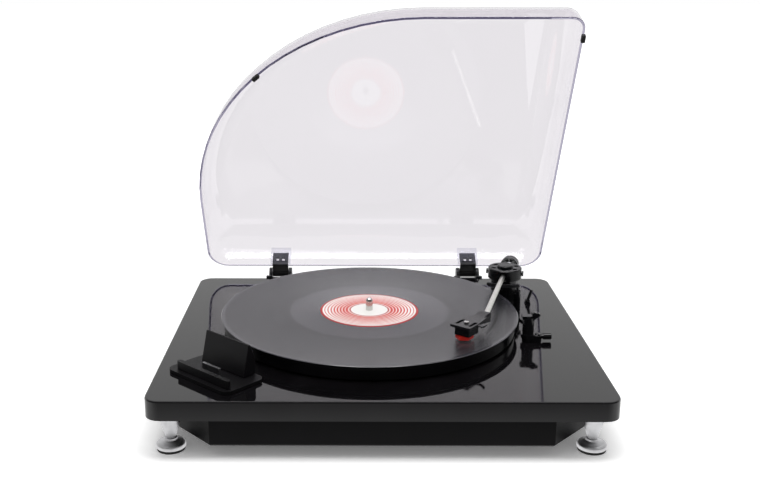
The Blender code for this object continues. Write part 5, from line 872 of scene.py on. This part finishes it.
# %% Tube
TUBE_DROP = 5.0 / 130.0
TUBE_START, TUBE_END = 8.3, 136.0
TUBE_RADIUS = 2.6 * MM
slope = math.atan(TUBE_DROP)
tube_path = np.array([on_arm(0, -d * math.cos(slope), -d * math.sin(slope))
                      for d in np.linspace(TUBE_START, TUBE_END, 24)])
tube = swept("arm_tube_drawn", circle_section(TUBE_RADIUS, 32), tube_path, ARM_X)
place(tube, "arm", anodised_tube, "arm_silver", "arm_tube")

# %% Counterweight and its dial
STUB_AXIS = Vector(JOINT["counterweight_turn"]["axis"])
DIAL_AT = 32.0
WEIGHT_AT = DIAL_AT + 4.3
WEIGHT_END = WEIGHT_AT + 11.0
STUB_HOLE = 2.3
WEIGHT_RADIUS, WEIGHT_GROOVE, WEIGHT_BACK = 9.6, 9.1, 8.4
weight_profile = [(STUB_HOLE, WEIGHT_AT), (WEIGHT_RADIUS, WEIGHT_AT),
                  (WEIGHT_RADIUS, WEIGHT_AT + 2.7), (WEIGHT_GROOVE, WEIGHT_AT + 3.1),
                  (WEIGHT_GROOVE, WEIGHT_AT + 3.9), (WEIGHT_RADIUS, WEIGHT_AT + 4.3),
                  (WEIGHT_RADIUS, WEIGHT_END - 1.4), (WEIGHT_BACK, WEIGHT_END),
                  (STUB_HOLE, WEIGHT_END)]
weight = turned("counterweight_turned", rounded(np.array(weight_profile) * MM, 0.3),
                PIVOT_POINT, z_axis=STUB_AXIS, steps=72)
place(weight, "counterweight", dark_enamel, "drum_black", "counterweight")
DIAL_FLAT, DIAL_RADIUS, DIAL_BACK = 8.6, 9.7, DIAL_AT + 4.0
dial_profile = [(STUB_HOLE, DIAL_AT), (DIAL_FLAT, DIAL_AT), (DIAL_RADIUS, DIAL_AT + 0.9),
                (DIAL_RADIUS, DIAL_BACK), (STUB_HOLE, DIAL_BACK)]
dial = turned("weight_dial_moulded", rounded(np.array(dial_profile) * MM, 0.25), PIVOT_POINT,
              z_axis=STUB_AXIS, steps=72)
place(dial, "weight_dial", satin_abs, "arm_black", "weight_dial")
HUB_FRONT, HUB_SEAT = DIAL_AT - 0.5, DIAL_AT + 0.2
hub_profile = [(STUB_HOLE, HUB_FRONT), (4.3, HUB_FRONT), (4.6, DIAL_AT - 0.2),
               (4.6, HUB_SEAT), (STUB_HOLE, HUB_SEAT)]
dial_hub = turned("weight_dial_hub", rounded(np.array(hub_profile) * MM, 0.1), PIVOT_POINT,
                  z_axis=STUB_AXIS, steps=48)
place(dial_hub, "weight_dial", turned_aluminium, "satin_aluminium")

# %% [markdown]
# ## Numbers on the dial
# The dial on the counterweight is marked with the tracking force in grams:
# a ring of fine ticks and the numbers from 0 to 3.5. They are printed in white
# on its front face, so they lie three hundredths of a millimetre before it.

# %% Printed marks
dial_axes, _ = axes_matrix(PIVOT_POINT, STUB_AXIS)
DIAL_FACE = DIAL_AT - 0.03


def dial_point(radius_mm, angle):
    """A place on the dial's front face, from its radius and angle."""
    local = np.array([radius_mm * math.cos(angle), radius_mm * math.sin(angle), DIAL_FACE])
    return PIVOT_POINT + dial_axes @ (local * MM)


TICKS, LONG_EVERY = 40, 5
TICK_OUTER, TICK_INNER, LONG_INNER = 8.6, 8.0, 7.5
TICK_HALF, LONG_HALF = 0.02, 0.03
EVEN_WIDTH_AT = 8.5
NUMBERS = ("0", ".5", "1", "1.5", "2", "2.5", "3", "3.5")
NUMBER_SIZE, NUMBER_RADIUS = 2.6 * MM, 6.2
points, faces = [], []
for tick in range(TICKS):
    angle = TURN * tick / TICKS
    is_long = tick % LONG_EVERY == 0
    inner = LONG_INNER if is_long else TICK_INNER
    half = LONG_HALF if is_long else TICK_HALF
    half_inner = half * EVEN_WIDTH_AT / inner
    base = len(points)
    points += [dial_point(inner, angle - half_inner), dial_point(TICK_OUTER, angle - half),
               dial_point(TICK_OUTER, angle + half), dial_point(inner, angle + half_inner)]
    faces.append([base + 3, base + 2, base + 1, base])
for place_in_ring, number in enumerate(NUMBERS):
    angle = TURN * place_in_ring / len(NUMBERS)
    words = bpy.data.curves.new("dial_number", "FONT")
    words.body = number
    words.size = NUMBER_SIZE
    words.align_x = words.align_y = "CENTER"
    words.resolution_u = 3
    letter = bpy.data.objects.new("dial_number", words)
    bpy.context.scene.collection.objects.link(letter)
    bpy.context.view_layer.update()
    shape = bpy.data.meshes.new_from_object(letter)
    flat = np.empty(3 * len(shape.vertices), np.float32)
    shape.vertices.foreach_get("co", flat)
    flat = flat.astype(float).reshape(-1, 3) / MM
    turned_to = angle - math.pi / 2
    x = -flat[:, 0]
    y = flat[:, 1] + NUMBER_RADIUS
    local = np.stack([x * math.cos(turned_to) - y * math.sin(turned_to),
                      x * math.sin(turned_to) + y * math.cos(turned_to),
                      np.full(len(flat), DIAL_FACE)], axis=1)
    base = len(points)
    points += list(PIVOT_POINT + (local * MM) @ dial_axes.T)
    faces += [[base + i for i in polygon.vertices] for polygon in shape.polygons]
    bpy.data.objects.remove(letter)
marks = mesh_object("dial_marks", np.array(points), faces)
place(marks, "weight_dial", white_ink, "arm_black")

# %% [markdown]
# ## Moulded pieces of the arm and its stand
# The headshell, cartridge, levers and rest are small mouldings with flat
# faces, so copies with softened edges carry their finishes.

# %% Headshell to rest
for node, name, body, bevel, paint_of, slot_name in (
        ("arm_block", "arm_bearing_block", "arm", 0.3, dark_enamel, "arm_black"),
        ("headshell", "headshell_moulded", "arm", 0.35, grey_enamel, "headshell_grey"),
        ("cartridge", "cartridge_body", "arm", 0.3, gloss_abs, "arm_black"),
        ("stylus", "stylus_holder", "arm", 0.3, stylus_red, "stylus_red"),
        ("cue_lever", "cue_lever_moulded", "cue_lever", 0.25, gloss_abs, "satin_black"),
        ("cue_platform", "cue_platform_moulded", "cue_platform", 0.3, satin_abs, "satin_black"),
        ("cue_post", "cue_post_moulded", "base", 0.2, gloss_abs, "satin_black"),
        ("arm_rest", "arm_rest_moulded", "base", 0.3, gloss_abs, "satin_black"),
        ("arm_side_plate", "control_plate", "base", 0.3, gloss_abs, "satin_black"),
        ("speed_selector", "speed_selector_moulded", "speed_selector", 0.25, satin_abs,
         "satin_black"),
        ("dock_base", "dock_moulded", "base", 0.5, dock_abs, "dock_grey"),
        ("dock_backrest", "dock_backrest_moulded", "base", 0.5, dock_abs, "dock_grey"),
        ("hinge_base_left", "hinge_foot_left", "base", 0.4, satin_abs, "satin_black"),
        ("hinge_base_right", "hinge_foot_right", "base", 0.4, satin_abs, "satin_black"),
        ("lid_bumper_left", "lid_buffer_left", "lid", 0.6, black_rubber, "black_rubber"),
        ("lid_bumper_right", "lid_buffer_right", "lid", 0.6, black_rubber, "black_rubber")):
    dress(softened(node, name, body, bevel), paint_of)

# %% [markdown]
# ## Clip and lever of the arm rest
# The clip that locks the arm is a thick beak on a pin at the top of the rest.
# Its upper edge has a hollow that closes over the tube. It is an outline in
# the plane across the record player, given a thickness. The lift lever ends
# in a glossy round grip.


# %% Flat pieces with a thickness
SLAB_ANGLE = 30.0


def slab(name, outline_mm, origin, u_axis, v_axis, thick_mm, bevel_mm):
    """A polygon of (u, v) places, pushed half the thickness to both sides."""
    u, v = np.asarray(u_axis, float), np.asarray(v_axis, float)
    out = np.cross(u, v) * thick_mm / 2
    flat = np.asarray(outline_mm, float) @ np.stack([u, v])
    points = np.asarray(origin, float) + np.concatenate([flat - out, flat + out]) * MM
    count = len(flat)
    index = np.arange(count)
    follow = (index + 1) % count
    sides = np.stack([index, follow, follow + count, index + count], axis=1)
    faces = [index[::-1].tolist(), (index + count).tolist()] + sides.tolist()
    piece = mesh_object(name, points, faces, SLAB_ANGLE)
    tidy_mesh(piece, SLAB_ANGLE)
    edge = piece.modifiers.new("soft edge", "BEVEL")
    edge.width = bevel_mm * MM
    edge.segments = 2
    edge.limit_method = "ANGLE"
    return piece


# %% Clip and grip
CLIP_PIN = Vector(JOINT["arm_clip"]["pos_m"])
CLIP_OUTLINE = [(-2.4, 1.7), (-0.6, 3.3), (1.0, 2.5), (2.3, 2.1), (3.6, 2.3), (4.5, 1.7),
                (5.6, -0.2), (-0.5, -4.9), (-1.1, -4.2), (-1.1, -1.9), (-2.4, -0.9)]
CLIP_THICK, CLIP_BEVEL = 3.0, 0.25
clip = slab("arm_clip_beak", CLIP_OUTLINE, CLIP_PIN, (1, 0, 0), (0, 0, 1),
            CLIP_THICK, CLIP_BEVEL)
place(clip, "arm_clip", gloss_abs, "satin_black", "arm_clip")
LEVER_PIN = Vector(JOINT["cue_lever"]["pos_m"])
GRIP_RADIUS, GRIP_FROM, GRIP_TO = 3.3, 4.7, 12.4
grip_profile = np.array([(0, GRIP_FROM), (GRIP_RADIUS, GRIP_FROM),
                         (GRIP_RADIUS, GRIP_TO), (0, GRIP_TO)]) * MM
grip = turned("cue_lever_grip", rounded(grip_profile, 0.5), LEVER_PIN, z_axis=(1, 0, 0),
              steps=48, closed=False)
place(grip, "cue_lever", gloss_abs, "satin_black")

# %% [markdown]
# ## The clear lid
# The lid is injection-moulded clear polystyrene. Light passes through its
# flat panel almost unchanged, and its edges look brighter and bluish, because
# there light runs a long way inside the plastic. Shadow rays pass through, as
# they would through a thin clear sheet. The small pockets that hold the hinge
# tongues are too thin to bend light, so they only shine on their outsides.

# %% Clear plastic
LONG_WAY = 4.5
FLOW_MM, THIN_FLOW_MM = 40.0, 12.0
PLASTIC_IOR = 1.49
clear_plastic = new_material("clear_polystyrene")
spot = add_node(clear_plastic, "TexCoord")
rays = add_node(clear_plastic, "LightPath")
flow = add_node(clear_plastic, "TexNoise", Vector=(spot, "Object"),
                Scale=MM_PER_M / FLOW_MM)
relief = add_node(clear_plastic, "Bump", Height=(flow, "Fac"), Strength=0.25,
                  Distance=0.15 * MM)
glass = add_node(clear_plastic, "BsdfPrincipled", Base_Color=linear("#efecf0"), Roughness=0.02,
                 Normal=(relief, "Normal"), IOR=PLASTIC_IOR, Transmission_Weight=1.0,
                 Specular_IOR_Level=0.2)
through = add_node(clear_plastic, "BsdfTransparent", Color=linear("#eef0f4"))
edge_tint = add_node(clear_plastic, "BsdfTransparent", Color=linear("#b6b3c4"))
long_way = add_node(clear_plastic, "Math", {"operation": "GREATER_THAN"},
                    no_0=(rays, "Ray Depth"), no_1=LONG_WAY)
inner = add_node(clear_plastic, "MixShader", no_0=(long_way, "Value"),
                 no_1=(glass, "BSDF"), no_2=(edge_tint, "BSDF"))
either = add_node(clear_plastic, "MixShader", no_0=(rays, "Is Shadow Ray"),
                  no_1=(inner, "Shader"), no_2=(through, "BSDF"))
set_surface(clear_plastic, either, "Shader")

# %% Thin clear plastic
thin_clear = new_material("thin_clear_polystyrene")
spot = add_node(thin_clear, "TexCoord")
flow = add_node(thin_clear, "TexNoise", Vector=(spot, "Object"),
                Scale=MM_PER_M / THIN_FLOW_MM)
relief = add_node(thin_clear, "Bump", Height=(flow, "Fac"), Strength=0.25, Distance=0.05 * MM)
sheen = add_node(thin_clear, "BsdfAnisotropic", Color=linear("#f6f7fb"), Roughness=0.04,
                 Normal=(relief, "Normal"))
clear = add_node(thin_clear, "BsdfTransparent", Color=linear("#f4f4f7"))
weight_of = add_node(thin_clear, "Fresnel", IOR=PLASTIC_IOR, Normal=(relief, "Normal"))
side_of = add_node(thin_clear, "NewGeometry")
outward = add_node(thin_clear, "Math", {"operation": "SUBTRACT"},
                   no_0=1.0, no_1=(side_of, "Backfacing"))
weight_of = add_node(thin_clear, "Math", {"operation": "MULTIPLY"}, no_0=(weight_of, "Fac"),
                     no_1=(outward, "Value"))
thin_mix = add_node(thin_clear, "MixShader", no_0=(weight_of, "Value"),
                    no_1=(clear, "BSDF"), no_2=(sheen, "BSDF"))
set_surface(thin_clear, thin_mix, "Shader")

# %% Lid
TONGUE_FROM = 5.2 * MM
lid = softened("lid_shell", "lid_clear", "lid", 0.7, 3, 30)
dress(lid, clear_plastic)
rise_axis = Vector((0, math.sin(LID_ANGLE), math.cos(LID_ANGLE)))
for side in ("left", "right"):
    socket = softened("lid_socket_" + side, "lid_pocket_" + side, "lid", 0.3)
    dress(socket, thin_clear)
    leaf = softened("hinge_leaf_" + side, "hinge_arm_" + side, "lid", 0.3)
    dress(leaf, satin_abs)
    # Faces of the leaf inside the pocket get the tongue's painted sheen.
    leaf.data.materials.append(tongue_painted_pocket_sheen)
    for polygon in leaf.data.polygons:
        if (polygon.center - LID_AXIS).dot(rise_axis) > TONGUE_FROM:
            polygon.material_index = 1
